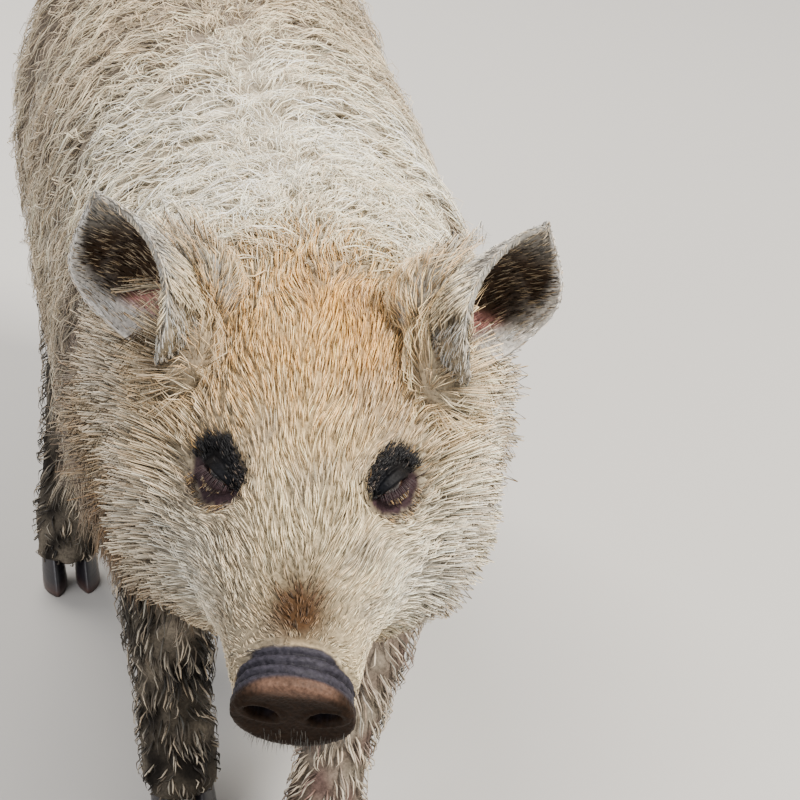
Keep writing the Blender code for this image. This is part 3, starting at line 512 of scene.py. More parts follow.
places, normals = points_of(head_mesh), normals_of(head_mesh)

for side in SIDES.values():
    eye, look, corner, up = lid_axes(side)
    away = places - eye
    far = np.linalg.norm(away, axis=1)
    along, above = away @ corner, away @ up
    near = 1.0 - ease(np.hypot(along, above * 1.1), *LID_REACH)
    near = near * (away @ look > 0)
    length, height = LID_SLIT
    line = 0.0010 * (1 - (along / length) ** 2) - 0.0006
    slit = height * np.sqrt(np.clip(1 - (along / length) ** 2, 0, 1))
    lid = LID_RADIUS + 0.0010 * ease(above, 0.0, 0.004)
    lid = lid + 0.0006 * bump_at(np.abs(above - line), slit + 0.0014, 0.0010)
    for height_of, depth, width in LID_CREASES:
        bend = height_of * (1 - 0.35 * (along / 0.014) ** 2)
        lid = lid - depth * bump_at(above, bend, width) * bump_at(along, 0.0, 0.011)
    opened = ease(slit - np.abs(above - line), -0.0004, 0.0005)
    lid = lid * (1 - opened) + (EYE_RADIUS - 0.0022) * opened
    target = far + (lid - far) * near
    places = eye + away * (target / far)[:, None]

in_front = ease(-places[:, 1], 0.232, 0.240)
for side in SIDES.values():
    across, above = places[:, 0] - side * NOSTRIL_SPOT[0], places[:, 2] - NOSTRIL_SPOT[1]
    slant = side * NOSTRIL_SLANT
    wide = across * math.cos(slant) + above * math.sin(slant)
    tall = above * math.cos(slant) - across * math.sin(slant)
    reach = np.hypot(wide / NOSTRIL_RADII[0], tall / NOSTRIL_RADII[1])
    hole = 1.0 - ease(reach, 0.50, 1.08)
    places[:, 1] += NOSTRIL_DEPTH * hole * in_front
    places[:, 1] -= 0.0009 * bump_at(reach, 1.30, 0.22) * in_front

on_top = ease(places[:, 2], -0.098, -0.068)
folds = snout_folds(places)
creased = bump_at(-places[:, 1], 0.2240, 0.0120) * (0.35 + 0.65 * on_top)
wrinkle = 0.0034 * (folds ** 0.6 - 0.8) + 0.00035 * waves(places, 0.0045, 22)
places += normals * (wrinkle * creased)[:, None]
pores = 0.00016 * waves(places, 0.0026, 23) * in_front
places += normals * pores[:, None]

lip = distance_to_route(places, mouth_route)
lips = 0.0016 * bump_at(lip, 0.0052, 0.0030) - 0.0026 * bump_at(lip, 0.0, 0.0017)
places += normals * lips[:, None]
flesh = 0.0006 * waves(places, 0.030, 24) * ease(places[:, 1], -0.20, -0.16)
places += normals * flesh[:, None]
places[:, 2] -= SNOUT_LEAN * places[:, 0] * ease(-places[:, 1], 0.195, 0.232)
move_points(head_mesh, carried(places, HEAD_PLACE))
head_mesh = modified(head_mesh, "head_skin", ("TRIANGULATE", {}))

# The ears are leaves that roll forward along their inner edge, over a cup that opens forward
# and outward: root, rise, the way they face, length, half width, thickness, and how far the
# arc turns at root and tip on the outer side. The inner side turns further by a share.
EAR_ROOT = Vector((0.065, -0.014, -0.030))
EAR_RISE = Vector((0.452, 0.134, 0.88))
EAR_FACE = Vector((0.42, -0.90, 0.02))
EAR_LENGTH = 0.103
EAR_HALF_WIDTH = 0.0483
EAR_THICK = 0.0034
EAR_CURL = (math.radians(95), math.radians(28.5))
EAR_INNER_CURL = (1.59, 0.34)
EAR_SWELL = (0.300, 0.6895)
EAR_OUT = 0.0099
EAR_BEND = 0.0064
EAR_SUNK = 0.20
EAR_GRID = (44, 56)


def ear_axes(side):
    """Where an ear stands: its frame is sideways, out along the ear and forward."""
    rise, face = mirrored(EAR_RISE, side).normalized(), mirrored(EAR_FACE, side)
    face = (face - rise * face.dot(rise)).normalized()
    turned = Matrix((rise.cross(face), rise, face)).transposed().to_4x4()
    return HEAD_PLACE @ Matrix.Translation(mirrored(EAR_ROOT, side)) @ turned


def ear_arc(reach):
    """The arc across the leaf at shares along it: half its turn, its radius and its middle."""
    swell = np.sin(math.pi * (EAR_SWELL[0] + EAR_SWELL[1] * reach)) ** 0.95
    curl = EAR_CURL[0] + (EAR_CURL[1] - EAR_CURL[0]) * reach ** 0.7
    radius = EAR_HALF_WIDTH * swell / curl
    outward = EAR_OUT + 0.0036 * np.sin(math.pi * reach) - EAR_BEND * reach ** 2
    return curl, radius, outward, radius * np.cos(curl * 0.6) + 0.0121 * reach ** 2


def ear_curve(across, along):
    """How far out and forward the leaf lies, at shares across it (-1 to 1) and along it."""
    reach = np.maximum(along, 0.0)
    curl, radius, outward, forward = ear_arc(reach)
    inner = EAR_INNER_CURL[0] + EAR_INNER_CURL[1] * (1.0 - reach)
    turn = curl * across * np.where(across > 0, 1.0, inner)
    return outward + radius * np.sin(turn), forward - radius * np.cos(turn)


def ear_mesh(side):
    """One ear as a closed shell in the pig's frame."""
    bm = bmesh.new()
    bmesh.ops.create_grid(bm, x_segments=EAR_GRID[0], y_segments=EAR_GRID[1], size=1.0)
    if side < 0:
        bmesh.ops.reverse_faces(bm, faces=bm.faces)
    mesh = mesh_from(bm, "ear_skin")
    grid = points_of(mesh)
    across = grid[:, 0] * side
    along = -EAR_SUNK + (1.0 + EAR_SUNK) * (grid[:, 1] + 1.0) / 2
    outward, forward = ear_curve(across, along)
    forward += 0.0016 * np.sin(9.0 * along + 2.5 * across) - 0.03 * np.maximum(-along, 0.0)
    forward -= 0.11 * np.maximum(0.20 - along, 0.0) * ease(-across, 0.1, 0.6)
    own = np.stack((side * outward, EAR_LENGTH * along, forward), 1)
    move_points(mesh, carried(own, ear_axes(side)))
    wall = ("SOLIDIFY", {"thickness": EAR_THICK, "offset": 0.0})
    return modified(mesh, "ear_skin", wall, ("TRIANGULATE", {}))


ear_meshes = {name: ear_mesh(side) for name, side in SIDES.items()}

joined = bpy.data.collections.new("hide_parts")
for name, mesh in (("head", head_mesh), ("tail", tail_mesh), ("ear_left", ear_meshes["left"]),
                   ("ear_right", ear_meshes["right"])):
    joined.objects.link(bpy.data.objects.new(f"hide_{name}", mesh))
skin_mesh = modified(body_mesh, "skin", ("BOOLEAN", {
    "operation": "UNION", "operand_type": "COLLECTION", "collection": joined, "solver": "MANIFOLD",
}))
for obj in list(joined.objects):
    bpy.data.objects.remove(obj)
bpy.data.collections.remove(joined)
skin = linked("skin", skin_mesh)


# The colours of the pig, which hide and hair share: cream and grey-blond flanks, a whitish
# crest, a tan forehead, dark lids and snout, mottled dark legs, and ears dark inside with a
# white outer rim. The right side of neck and face, away from the key lamp, gets painted shade.
def paint(red, green, blue):
    """A colour as the eye sees it, from 0 to 255, made linear."""
    shares = np.array((red, green, blue)) / 255
    return np.where(shares > 0.04045, ((shares + 0.055) / 1.055) ** 2.4, shares / 12.92)


CREAM = paint(218, 200, 168)
BUFF = paint(186, 166, 136)
GREY_BLOND = paint(150, 143, 134)
CREST_WHITE = paint(248, 236, 210)
FOREHEAD_TAN = paint(232, 170, 78)
FACE_CREAM = paint(216, 198, 162)
FACE_WHITE = paint(238, 231, 214)
BRIDGE_BROWN = paint(84, 60, 38)
CHEST_OCHRE = paint(98, 68, 30)
LEG_DARK = paint(36, 32, 28)
LEG_PALE = paint(170, 158, 140)
SHIN_PLUM = paint(128, 104, 96)
LID_BLUE = paint(6, 8, 13)
LID_PLUM = paint(46, 33, 36)
SNOUT_BLUE = paint(44, 42, 49)
SNOUT_BROWN = paint(30, 19, 11)
RIM_ROSE = paint(98, 75, 63)
EAR_GREY = paint(186, 182, 173)
EAR_DARK = paint(48, 35, 24)
EAR_WHITE = paint(214, 210, 204)
EAR_PINK = paint(206, 148, 140)
TAIL_GREY = paint(120, 108, 96)
# A grey for the undercoat, also used as painted shade under the coat and on the shaded side of the neck.
UNDERCOAT_AND_SHADE = paint(112, 100, 92)
EYE_PATCH = (0.0195, 0.0181)
MUZZLE_LINE = 0.2150


def eye_reach(own, side):
    """How far places of the head lie from an eye: 1 on the edge of its dark bare patch."""
    eye, look, corner, up = lid_axes(side)
    away = own - eye
    reach = np.hypot((away @ corner + 0.0017) / EYE_PATCH[0], (away @ up - 0.0009) / EYE_PATCH[1])
    reach = reach + 0.06 * waves(own, 0.007, 25)
    return np.where(away @ look > -0.004, reach, 9.0)


def past_hair(own):
    """How far places of the head lie past the line where hair ends and bare snout begins."""
    line = MUZZLE_LINE + 9.0 * own[:, 0] ** 2 + 0.10 * np.clip(-0.080 - own[:, 2], 0, 1)
    return -own[:, 1] - line


def mixed(colours, other, share):
    return colours + (other - colours) * np.clip(share, 0, 1)[:, None]


def ear_place(places, side):
    """Sideways (outer is positive), out along the ear, and how far forward, in its frame."""
    own = carried(places, ear_axes(side).inverted())
    return own[:, 0] * side, own[:, 1] / EAR_LENGTH, own[:, 2]


def near_fold(outward, out):
    """1 close to the inner edge of an ear, where the leaf folds forward."""
    inner = ear_curve(-1.0, np.clip(out, 0.0, 0.97))[0]
    return 1.0 - ease(outward - inner, 0.006, 0.020)


def cup_colour(outward, out):
    """The colour inside an ear: dark, pink at the lower notch, white at the outer rim."""
    margin = ear_curve(1.0, np.clip(out, 0.0, 0.97))[0]
    across = outward / margin
    inside = mixed(EAR_DARK, EAR_GREY * 0.42, 0.75 * ease(out, 0.62, 0.92))
    inside = mixed(inside, EAR_PINK, (1.0 - ease(out, 0.12, 0.25)) * ease(across, 0.10, 0.40))
    across = across + 0.16 * (1.0 - ease(out, 0.05, 0.30))
    inside = mixed(inside, EAR_WHITE, ease(across, 0.80, 0.94))
    return mixed(inside, EAR_GREY, 0.6 * ease(-outward, 0.008, 0.022))


def in_hollow(places, side):
    """1 in the hollow of an ear, between its leaf and its two rims."""
    outward, out, forward = ear_place(places, side)
    reach = np.clip(out, 0.0, 0.97)
    outer, outer_front = ear_curve(1.0, reach)
    inner, inner_front = ear_curve(-1.0, reach)
    across = (outward - inner) / (outer - inner)
    rims = inner_front + (outer_front - inner_front) * across
    _, radius, middle, front = ear_arc(reach)
    floor = front - np.sqrt(np.clip(radius ** 2 - (outward - middle) ** 2, 0.0, None))
    within = ease(across, -0.05, 0.05) * (1.0 - ease(across, 0.95, 1.05))
    within = within * ease(out, 0.0, 0.06) * (1.0 - ease(out, 0.90, 0.99))
    return within * ease(forward - floor, -0.001, 0.002) * ease(rims - forward, -0.005, -0.002)


def face_colour(own, middle, small):
    """The colour at places of the head, in its frame, with two of the coat's noises."""
    cheek = ease(np.abs(own[:, 0]), 0.035, 0.085)
    face = mixed(FACE_CREAM, FACE_WHITE, cheek * (0.65 + 0.3 * middle))
    brow = bump_at(own[:, 0], 0.0, 0.058) * bump_at(own[:, 1], -0.045, 0.055)
    brow = brow * ease(own[:, 2], -0.07, -0.03)
    face = mixed(face, FOREHEAD_TAN, brow * (0.72 + 0.25 * middle))
    face = mixed(face, GREY_BLOND, 0.40 * ease(small + middle, 0.2, 1.4))
    # Painted shade: the right side of the face, away from the key lamp, is darkened towards buff.
    face = mixed(face, BUFF * 0.82, 0.58 * ease(-own[:, 0], 0.004, 0.046))
    under_eye = bump_at(np.abs(own[:, 0]), 0.048, 0.022) * bump_at(own[:, 2], -0.088, 0.026)
    face = mixed(face, FACE_WHITE, 0.95 * under_eye * bump_at(own[:, 1], -0.120, 0.050))
    jaw = ease(-own[:, 2], 0.118, 0.150)
    face = mixed(face, CHEST_OCHRE, 0.55 * jaw)
    bridge = bump_at(own[:, 0], 0.0, 0.0200) * bump_at(own[:, 1], -0.196, 0.028)
    face = mixed(face, BRIDGE_BROWN, 1.15 * bridge * ease(own[:, 2], -0.075, -0.055))
    for side in SIDES.values():
        eye, look, corner, up = lid_axes(side)
        away = own - eye
        along, above = away @ corner, away @ up
        patch = 1.0 - ease(eye_reach(own, side), 0.82, 1.16)
        lids = mixed(LID_PLUM, LID_BLUE, ease(above, -0.0015, 0.0015))
        face = mixed(face, lids, patch)
        shade = bump_at(np.hypot(along + 0.014, above - 0.010), 0.0, 0.016) * (away @ look > 0)
        face = mixed(face, LEG_DARK, 0.35 * shade)
    muzzle = ease(past_hair(own) + 0.0015 * small, 0.0, 0.0030)
    nose = mixed(SNOUT_BLUE, SNOUT_BROWN, ease(-own[:, 1], 0.2370, 0.2410))
    band = bump_at(own[:, 2] + SNOUT_LEAN * own[:, 0], -0.0530, 0.0048)
    band = band * ease(-own[:, 1], 0.2370, 0.2405) * bump_at(own[:, 0], 0.0, 0.023)
    nose = mixed(nose, RIM_ROSE, 1.1 * band)
    # Painted shade in the creases across the snout's top and a painted highlight on the folds between
    # them.
    creased = 1.0 - ease(-own[:, 1], 0.2340, 0.2380)
    nose = nose * (1.0 - creased * (0.62 - 0.75 * snout_folds(own) ** 0.7))[:, None]
    face = mixed(face, nose, muzzle)
    lip = distance_to_route(own, mouth_route)
    face = mixed(face, LID_PLUM, 0.8 * bump_at(lip, 0.0, 0.0035) * ease(-own[:, 1], 0.08, 0.13))
    return face


def coat_colour(places, ear=None):
    """The colour at places in the pig's own frame, on an ear where one is named."""
    own = carried(places, INTO_HEAD)
    x, y, z = places.T
    large, middle, small = (waves(places, *noise) for noise in ((0.20, 31), (0.075, 32), (0.028, 33)))
    head = ease(-own[:, 1] + 0.02 * small, -0.085, 0.010) * ease(own[:, 2], -0.22, -0.18)
    colours = mixed(CREAM, BUFF, 0.32 + 0.30 * large + 0.25 * middle)
    down = ease(np.abs(x), 0.045, 0.135)
    colours = mixed(colours, GREY_BLOND, 0.42 * down + 0.25 * small * down)
    crest = ease(z, 0.400, 0.470) * ease(-y, -0.05, 0.18)
    colours = mixed(colours, CREST_WHITE, crest * (0.80 + 0.25 * middle))
    ruff = bump_at(y, -0.375, 0.05) * ease(np.abs(x), 0.02, 0.06)
    colours = mixed(colours, GREY_BLOND, 0.45 * ruff * (0.6 + 0.5 * small))
    # Painted shade on the lower neck and shoulder on the pig's right side, away from the key lamp.
    neck_painted_shade = ease(-z, -0.480, -0.360) * ease(-y, 0.10, 0.24) * ease(-x, 0.04, 0.09)
    colours = mixed(colours, UNDERCOAT_AND_SHADE * 0.62, 0.95 * neck_painted_shade * (0.85 + 0.4 * small))
    chest = ease(-z, -0.350, -0.250) * ease(-y, 0.14, 0.26)
    belly = ease(-z, -0.250, -0.205)
    colours = mixed(colours, CHEST_OCHRE, 0.85 * chest)
    colours = mixed(colours, CHEST_OCHRE * 0.8, 0.45 * belly * (1 - chest))
    leg = 1.0 - ease(z, 0.190, 0.275 + 0.02 * small)
    mottle = 0.16 + 0.16 * small + 0.10 * middle
    legs = mixed(LEG_DARK, LEG_PALE, mottle)
    pale_leg = ease(x, -0.045, 0.0) * ease(-y, 0.10, 0.16)
    legs = mixed(legs, mixed(SHIN_PLUM, LEG_PALE, 0.45 + 0.5 * small), 0.85 * pale_leg)
    colours = mixed(colours, legs, leg)
    tail = ease(y, 0.420, 0.440)
    colours = mixed(colours, TAIL_GREY, tail * (0.4 + 0.6 * ease(-z, -0.36, -0.27)))
    colours = mixed(colours, face_colour(own, middle, small), head)

    for name, side in SIDES.items():
        outward, out, forward = ear_place(places, side)
        if ear == name:
            share = np.ones(len(places))
        elif ear is None:
            share = ease(out, 0.18, 0.30) * (np.abs(outward) < 0.075) * (np.abs(forward) < 0.06)
        else:
            continue
        leaf = mixed(EAR_GREY, GREY_BLOND * 0.8, 0.35 + 0.45 * small)
        leaf = mixed(leaf, EAR_WHITE, ease(outward, 0.010, 0.030) * 0.9)
        fold = near_fold(outward, out) * (1.0 - ease(out, 0.30, 0.65))
        leaf = mixed(leaf, (BUFF + FACE_CREAM) / 2, 0.9 * fold)
        colours = mixed(colours, leaf, share)
    return colours


def add_colours(mesh, name, colours):
    layer = mesh.color_attributes.new(name, "FLOAT_COLOR", "POINT")
    values = np.ones((len(colours), 4), np.float32)
    values[:, :3] = np.clip(colours, 0.0, 1.0)
    layer.data.foreach_set("color", values.ravel())


places = points_of(skin_mesh)
colours = coat_colour(places)
own = carried(places, INTO_HEAD)
on_body = 1.0 - ease(-own[:, 1], -0.030, 0.000)
# Painted shade under the coat: the body's hide is darkened, most in the hollows between the ridges.
colours *= (1.0 - (0.62 * ridge_hollow(places) + 0.22) * on_body)[:, None]
haired = (1.0 - on_body) * (1.0 - ease(past_hair(own), -0.001, 0.002))
for side in SIDES.values():
    haired *= ease(eye_reach(own, side), 0.84, 1.00)
trunk = on_body * ease(places[:, 2], 0.20, 0.27) * (1.0 - ease(places[:, 1], 0.41, 0.43))
# Painted shade under the face's hair: the haired hide of the head is darkened.
colours *= (1.0 - 0.52 * haired)[:, None]
crest = ease(places[:, 2], 0.400, 0.470) * ease(-places[:, 1], -0.05, 0.18)
# The trunk's hide goes towards the undercoat's grey, which is partly painted shade under the hair, less
# under the crest.
colours = mixed(colours, UNDERCOAT_AND_SHADE * 0.72, 0.80 * trunk * (1.0 - 0.55 * crest))
for side in SIDES.values():
    outward, out, forward = ear_place(places, side)
    normal_in_ear = normals_of(skin_mesh) @ np.array(ear_axes(side))[:3, :3]
    cup = ease(normal_in_ear[:, 2], -0.1, 0.3) * ease(out, 0.05, 0.15) * (np.abs(outward) < 0.05)
    cup = cup * (np.abs(forward) < 0.05) * ease(-forward, -0.020, 0.004)
    cup = np.maximum(cup, in_hollow(places, side))
    colours = mixed(colours, cup_colour(outward, out), cup)
add_colours(skin_mesh, "tint", colours)
bare = ease(-own[:, 1], 0.2150, 0.2200)
for side in SIDES.values():
    bare = np.maximum(bare, 1.0 - ease(eye_reach(own, side), 0.85, 1.05))
add_colours(skin_mesh, "bare", np.repeat(bare[:, None], 3, 1))

# The hide's material takes these colours, a little lighter and darker by a fine noise that also
# gives it a relief, and is smoother where the skin is bare.
HIDE_ROUGHNESS = 0.66
BARE_ROUGHNESS = 0.54


def plain_material(name, colour, roughness):
    made = bpy.data.materials.new(name)
    made.use_nodes = True
    shader = made.node_tree.nodes["Principled BSDF"]
    shader.inputs["Base Color"].default_value = colour
    shader.inputs["Roughness"].default_value = roughness
    return made, made.node_tree, shader


def node(tree, kind, **settings):
    """A node of this kind, with each setting put on its input or, failing that, on itself."""
    made = tree.nodes.new(kind)
    for key, value in settings.items():
        if key in made.inputs:
            made.inputs[key].default_value = value
        else:
            setattr(made, key, value)
    return made


def join(tree, source, output, target, entry):
    tree.links.new(source.outputs[output], target.inputs[entry])


def mottled(tree, shader, noise, brightness):
    """Colours by the mesh's tint, lighter and darker by a fine noise, which is given back."""
    scale, detail, roughness = noise
    tint = node(tree, "ShaderNodeAttribute", attribute_name="tint")
    spot = node(tree, "ShaderNodeTexCoord")
    speck = node(tree, "ShaderNodeTexNoise", Scale=scale, Detail=detail, Roughness=roughness)
    join(tree, spot, "Object", speck, "Vector")
    spread = node(tree, "ShaderNodeMapRange", **{
        "From Min": 0.30, "From Max": 0.70, "To Min": brightness[0], "To Max": brightness[1]})
    join(tree, speck, "Fac", spread, "Value")
    scaled = node(tree, "ShaderNodeVectorMath", operation="SCALE")
    join(tree, tint, "Color", scaled, 0)
    join(tree, spread, "Result", scaled, "Scale")
    join(tree, scaled, "Vector", shader, "Base Color")
    return speck


def roughened(tree, shader, height, strength, distance):
    """A fine relief on the surface, as high as a noise says."""
    relief = node(tree, "ShaderNodeBump", Strength=strength, Distance=distance)
    join(tree, height, "Fac", relief, "Height")
    join(tree, relief, "Normal", shader, "Normal")


hide, tree, shader = plain_material("hide", (0.5, 0.42, 0.33, 1.0), HIDE_ROUGHNESS)
shader.inputs["Specular IOR Level"].default_value = 0.07
roughened(tree, shader, mottled(tree, shader, (420.0, 3.0, 0.6), (0.55, 1.25)), 0.45, 0.0012)
bare_skin = node(tree, "ShaderNodeAttribute", attribute_name="bare")
polish = node(tree, "ShaderNodeMapRange", **{"To Min": HIDE_ROUGHNESS, "To Max": BARE_ROUGHNESS})
join(tree, bare_skin, "Fac", polish, "Value")
join(tree, polish, "Result", shader, "Roughness")
skin_mesh.materials.clear()
skin_mesh.materials.append(hide)
skin_mesh.shade_smooth()


def settle(piece, slot, *nodes):
    """Moves a finished piece from the pig's frame to the model's and hides the nodes it replaces; the
    slot is not used.
    """
    piece.data.transform(Matrix.Translation(SHIFT))
    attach(piece, "root")
    if nodes:
        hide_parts(*nodes)


skin_tree = BVHTree.FromPolygons(
    [Vector(place) for place in places],
    [tuple(polygon.vertices) for polygon in skin_mesh.polygons],
)
skin_vertices, skin_normals = places, normals_of(skin_mesh)
skin_corners = np.array([polygon.vertices[:3] for polygon in skin_mesh.polygons
                         if len(polygon.vertices) == 3])
settle(skin, "coat", "head", "neck", "torso", "tail", "snout", "ear_left", "ear_right", *LEGS)

# The hooves: two horn claws under each foot, with growth rings round the wall, a flat sole and
# a worn reddish toe, and two small dewclaws behind it. They are lofted ring by ring.
CLAW_HEIGHT = 0.0280
CLAW_WIDTH = 0.0220
CLAW_LENGTH = 0.050
CLAW_SPLIT = 0.0045
CLAW_FORWARD = 0.006
CLAW_TOE = 0.42
CLAW_RINGS = 14
CLAW_POINTS = 36
DEWCLAW_HEIGHT = 0.052
DEWCLAW_LEAN = Vector((0.30, 0.62, -0.95))
DEWCLAW_APART = 0.0135
DEWCLAW_SET = 0.74
DEWCLAW_RADIUS = 0.0080
DEWCLAW_LENGTH = 0.021
DEWCLAW_RINGS = 8
DEWCLAW_POINTS = 20
HORN = (0.016, 0.014, 0.017, 1.0)
HORN_WORN = (0.090, 0.042, 0.030, 1.0)
WORN_FROM = 0.011
WORN_TO = 0.001

horn, tree, shader = plain_material("horn", HORN, 0.34)
spot = node(tree, "ShaderNodeTexCoord")
streak = node(tree, "ShaderNodeTexNoise", Scale=60.0, Detail=5.0)
stretch = node(tree, "ShaderNodeMapping", Scale=(1.0, 1.0, 7.0))
join(tree, spot, "Object", stretch, "Vector")
join(tree, stretch, "Vector", streak, "Vector")
apart = node(tree, "ShaderNodeSeparateXYZ")
join(tree, spot, "Object", apart, "Vector")
worn = node(tree, "ShaderNodeMapRange", **{"From Min": WORN_FROM, "From Max": WORN_TO})
join(tree, apart, "Z", worn, "Value")
both = node(tree, "ShaderNodeMath", operation="MULTIPLY")
join(tree, worn, "Result", both, 0)
join(tree, streak, "Fac", both, 1)
ramp = node(tree, "ShaderNodeMix", data_type="RGBA", A=HORN, B=HORN_WORN)
join(tree, both, "Value", ramp, "Factor")
join(tree, ramp, "Result", shader, "Base Color")
roughened(tree, shader, streak, 0.35, 0.0010)


def add_claw(bm, middle, inner):
    """One claw: a sole, a ringed wall that leans forward, and a coronet under the hair."""
    rings = []
    for step in range(CLAW_RINGS):
        share = step / (CLAW_RINGS - 1)
        narrow = 1.0 - 0.20 * share ** 1.4 - 0.06 * max(1.0 - share * 9, 0)
        across = CLAW_WIDTH / 2 * (1.0 - 0.10 * share ** 2) * narrow ** 0.5
        along = CLAW_LENGTH / 2 * narrow
        groove = 0.00022 * math.sin(share * 40.0)
        ring = []
        for point in range(CLAW_POINTS):
            turn = math.tau * point / CLAW_POINTS
            toe = 1.0 - CLAW_TOE * max(-math.sin(turn), 0.0) ** 2.2
            flat = 0.80 if math.cos(turn) * inner > 0 else 1.0
            side = (across * flat + groove) * math.cos(turn) * toe
            back = (along + groove) * math.sin(turn) + 0.010 * share
            ring.append(middle + Vector((side + inner * 0.0010, back, CLAW_HEIGHT * share)))
        rings.append(ring)
    add_loft(bm, rings)


for leg_name, rows in LEGS.items():
    bm = bmesh.new()
    x, y = rows[-1][:2]
    heel = [row for row in smooth_rows(rows, 6) if row[2] >= DEWCLAW_HEIGHT][-1]
    for side in SIDES.values():
        offset = side * (CLAW_WIDTH + CLAW_SPLIT) / 2
        add_claw(bm, Vector((x + offset, y - CLAW_FORWARD, 0.0)), -side)
        spot = Vector((heel[0] + side * DEWCLAW_APART, heel[1] + heel[4] * DEWCLAW_SET, heel[2]))
        turn = mirrored(DEWCLAW_LEAN, side).normalized().to_track_quat("Z", "Y").to_matrix()
        rings = []
        for step in range(DEWCLAW_RINGS):
            share = step / (DEWCLAW_RINGS - 1)
            radius = DEWCLAW_RADIUS * (1.0 - 0.35 * share - 0.55 * max(share - 0.8, 0) * 5)
            radius += 0.0003 * math.sin(share * 24)
            height = DEWCLAW_LENGTH * (share - 0.45)
            rings.append([
                spot + turn @ Vector((radius * math.cos(a), 0.8 * radius * math.sin(a), height))
                for a in (math.tau * i / DEWCLAW_POINTS for i in range(DEWCLAW_POINTS))
            ])
        add_loft(bm, rings)
    hooves = linked(f"hooves_{leg_name}", triangles_from(bm, f"hooves_{leg_name}"))
    hooves.data.materials.append(horn)
    hooves.data.shade_smooth()
    names = [f"{kind}_{leg_name}_{where}" for kind in ("claw", "dewclaw") for where in SIDES]
    settle(hooves, "hoof", *names)


# The eyes: glossy balls behind the lids, nearly black, with a brown iris round the pupil.
EYE_BROWN = (0.050, 0.022, 0.010, 1.0)
EYE_BLACK = (0.004, 0.003, 0.003, 1.0)
IRIS_SHARE = 0.80
PUPIL_SHARE = 0.42

eye_material, tree, shader = plain_material("eye_glass", EYE_BLACK, 0.06)
shader.inputs["Coat Weight"].default_value = 0.8
shader.inputs["Coat Roughness"].default_value = 0.03
tint = node(tree, "ShaderNodeAttribute", attribute_name="tint")
join(tree, tint, "Color", shader, "Base Color")
for name, side in SIDES.items():
    bm = bmesh.new()
    add_ball(bm, (0, 0, 0), (EYE_RADIUS, EYE_RADIUS, EYE_RADIUS), 48, 32)
    mesh = mesh_from(bm, f"eyeball_{name}")
    eye, look = lid_axes(side)[:2]
    places = points_of(mesh)
    off_axis = np.linalg.norm(np.cross(places / EYE_RADIUS, look), axis=1)
    iris = ease(off_axis, PUPIL_SHARE - 0.1, PUPIL_SHARE)
    iris = iris * (1.0 - ease(off_axis, IRIS_SHARE - 0.1, IRIS_SHARE))
    add_colours(mesh, "tint", mixed(np.array(EYE_BLACK[:3]), np.array(EYE_BROWN[:3]), iris))
    move_points(mesh, carried(places + eye, HEAD_PLACE))
    ball = linked(f"eyeball_{name}", mesh)
    mesh.materials.append(eye_material)
    mesh.shade_smooth()
    settle(ball, "eye", f"eye_{name}")


# The body's coat: long crimped locks of hair rooted in the hide, which run down from the spine in
# ridges, gathered on each ridge's top and thin in the hollow between two, with short pale curls
# over them. The locks get painted light on the ridges' tops and painted shade in the hollows.
# Every hair or lock is a closed tapering tuft of three sides.
STRETCHES = {
    "coat_neck": (-1.0, -0.20, 3100),
    "coat_shoulder": (-0.20, -0.02, 3000),
    "coat_flank": (-0.02, 0.18, 3000),
    "coat_rump": (0.18, 1.0, 2900),
}
BODY_LENGTH = (0.030, 0.054)
BODY_WIDTH = (0.0008, 0.0017)
BODY_RISE = (0.0030, 0.0090)
BODY_SWAY = (0.0006, 0.0024)
CURL_COUNT = 2600
CURL_LENGTH = (0.012, 0.023)
CURL_WIDTH = (0.0005, 0.0010)
CURL_RISE = (0.0045, 0.0125)
CURL_SWAY = (0.0010, 0.0032)
# Painted light on the ridges' tops and painted shade in their hollows, as factors on the locks' colour.
RIDGE_TOP_PAINTED_LIGHT = 1.30
HOLLOW_PAINTED_SHADE = 0.94
GATHER = 0.88
GATHER_STEP = 0.010
EAR_NEAR = 0.08
EAR_GAP = 0.0006
HAIR_ROUGHNESS = 0.55
HAIR_WARMTH = 0.04
# Painted light on every hair: painted shade at the root, painted light at the tip, and across its three
# sides painted shade on two and painted light on the crown.
ROOT_PAINTED_SHADE = 0.36
TIP_PAINTED_LIGHT = 1.38
ACROSS_PAINTED_SHADE = (0.66, 1.14, 0.90)
PATCH = 0.003

hair, tree, shader = plain_material("hair", (0.7, 0.6, 0.5, 1.0), HAIR_ROUGHNESS)
shader.inputs["Specular IOR Level"].default_value = 0.30
mottled(tree, shader, (900.0, 2.0, 0.5), (0.80, 1.16))


def scatter(ground, count, weight, seed):
    """Roots and normals at random over a surface, given as points, normals and triangles."""
    points, normals, corners = ground
    a, b, c = (points[corners[:, i]] for i in range(3))
    areas = np.linalg.norm(np.cross(b - a, c - a), axis=1)
    chance = areas * np.clip(weight((a + b + c) / 3), 0, None)
    draw = np.random.default_rng(seed)
    chosen = draw.choice(len(corners), count, p=chance / chance.sum())
    first, second = draw.random(count), draw.random(count)
    over = first + second > 1
    first[over], second[over] = 1 - first[over], 1 - second[over]
    shares = np.stack((1 - first - second, first, second), 1)
    picked = corners[chosen]
    roots = (points[picked] * shares[:, :, None]).sum(1)
    return roots, unit((normals[picked] * shares[:, :, None]).sum(1))


def nearest_on(tree, goals):
    """The places on a surface nearest to the goals, and its normals there."""
    found, ups = np.empty_like(goals), np.empty_like(goals)
    for i, goal in enumerate(goals.tolist()):
        found[i], ups[i] = tree.find_nearest(goal)[:2]
    return found, ups


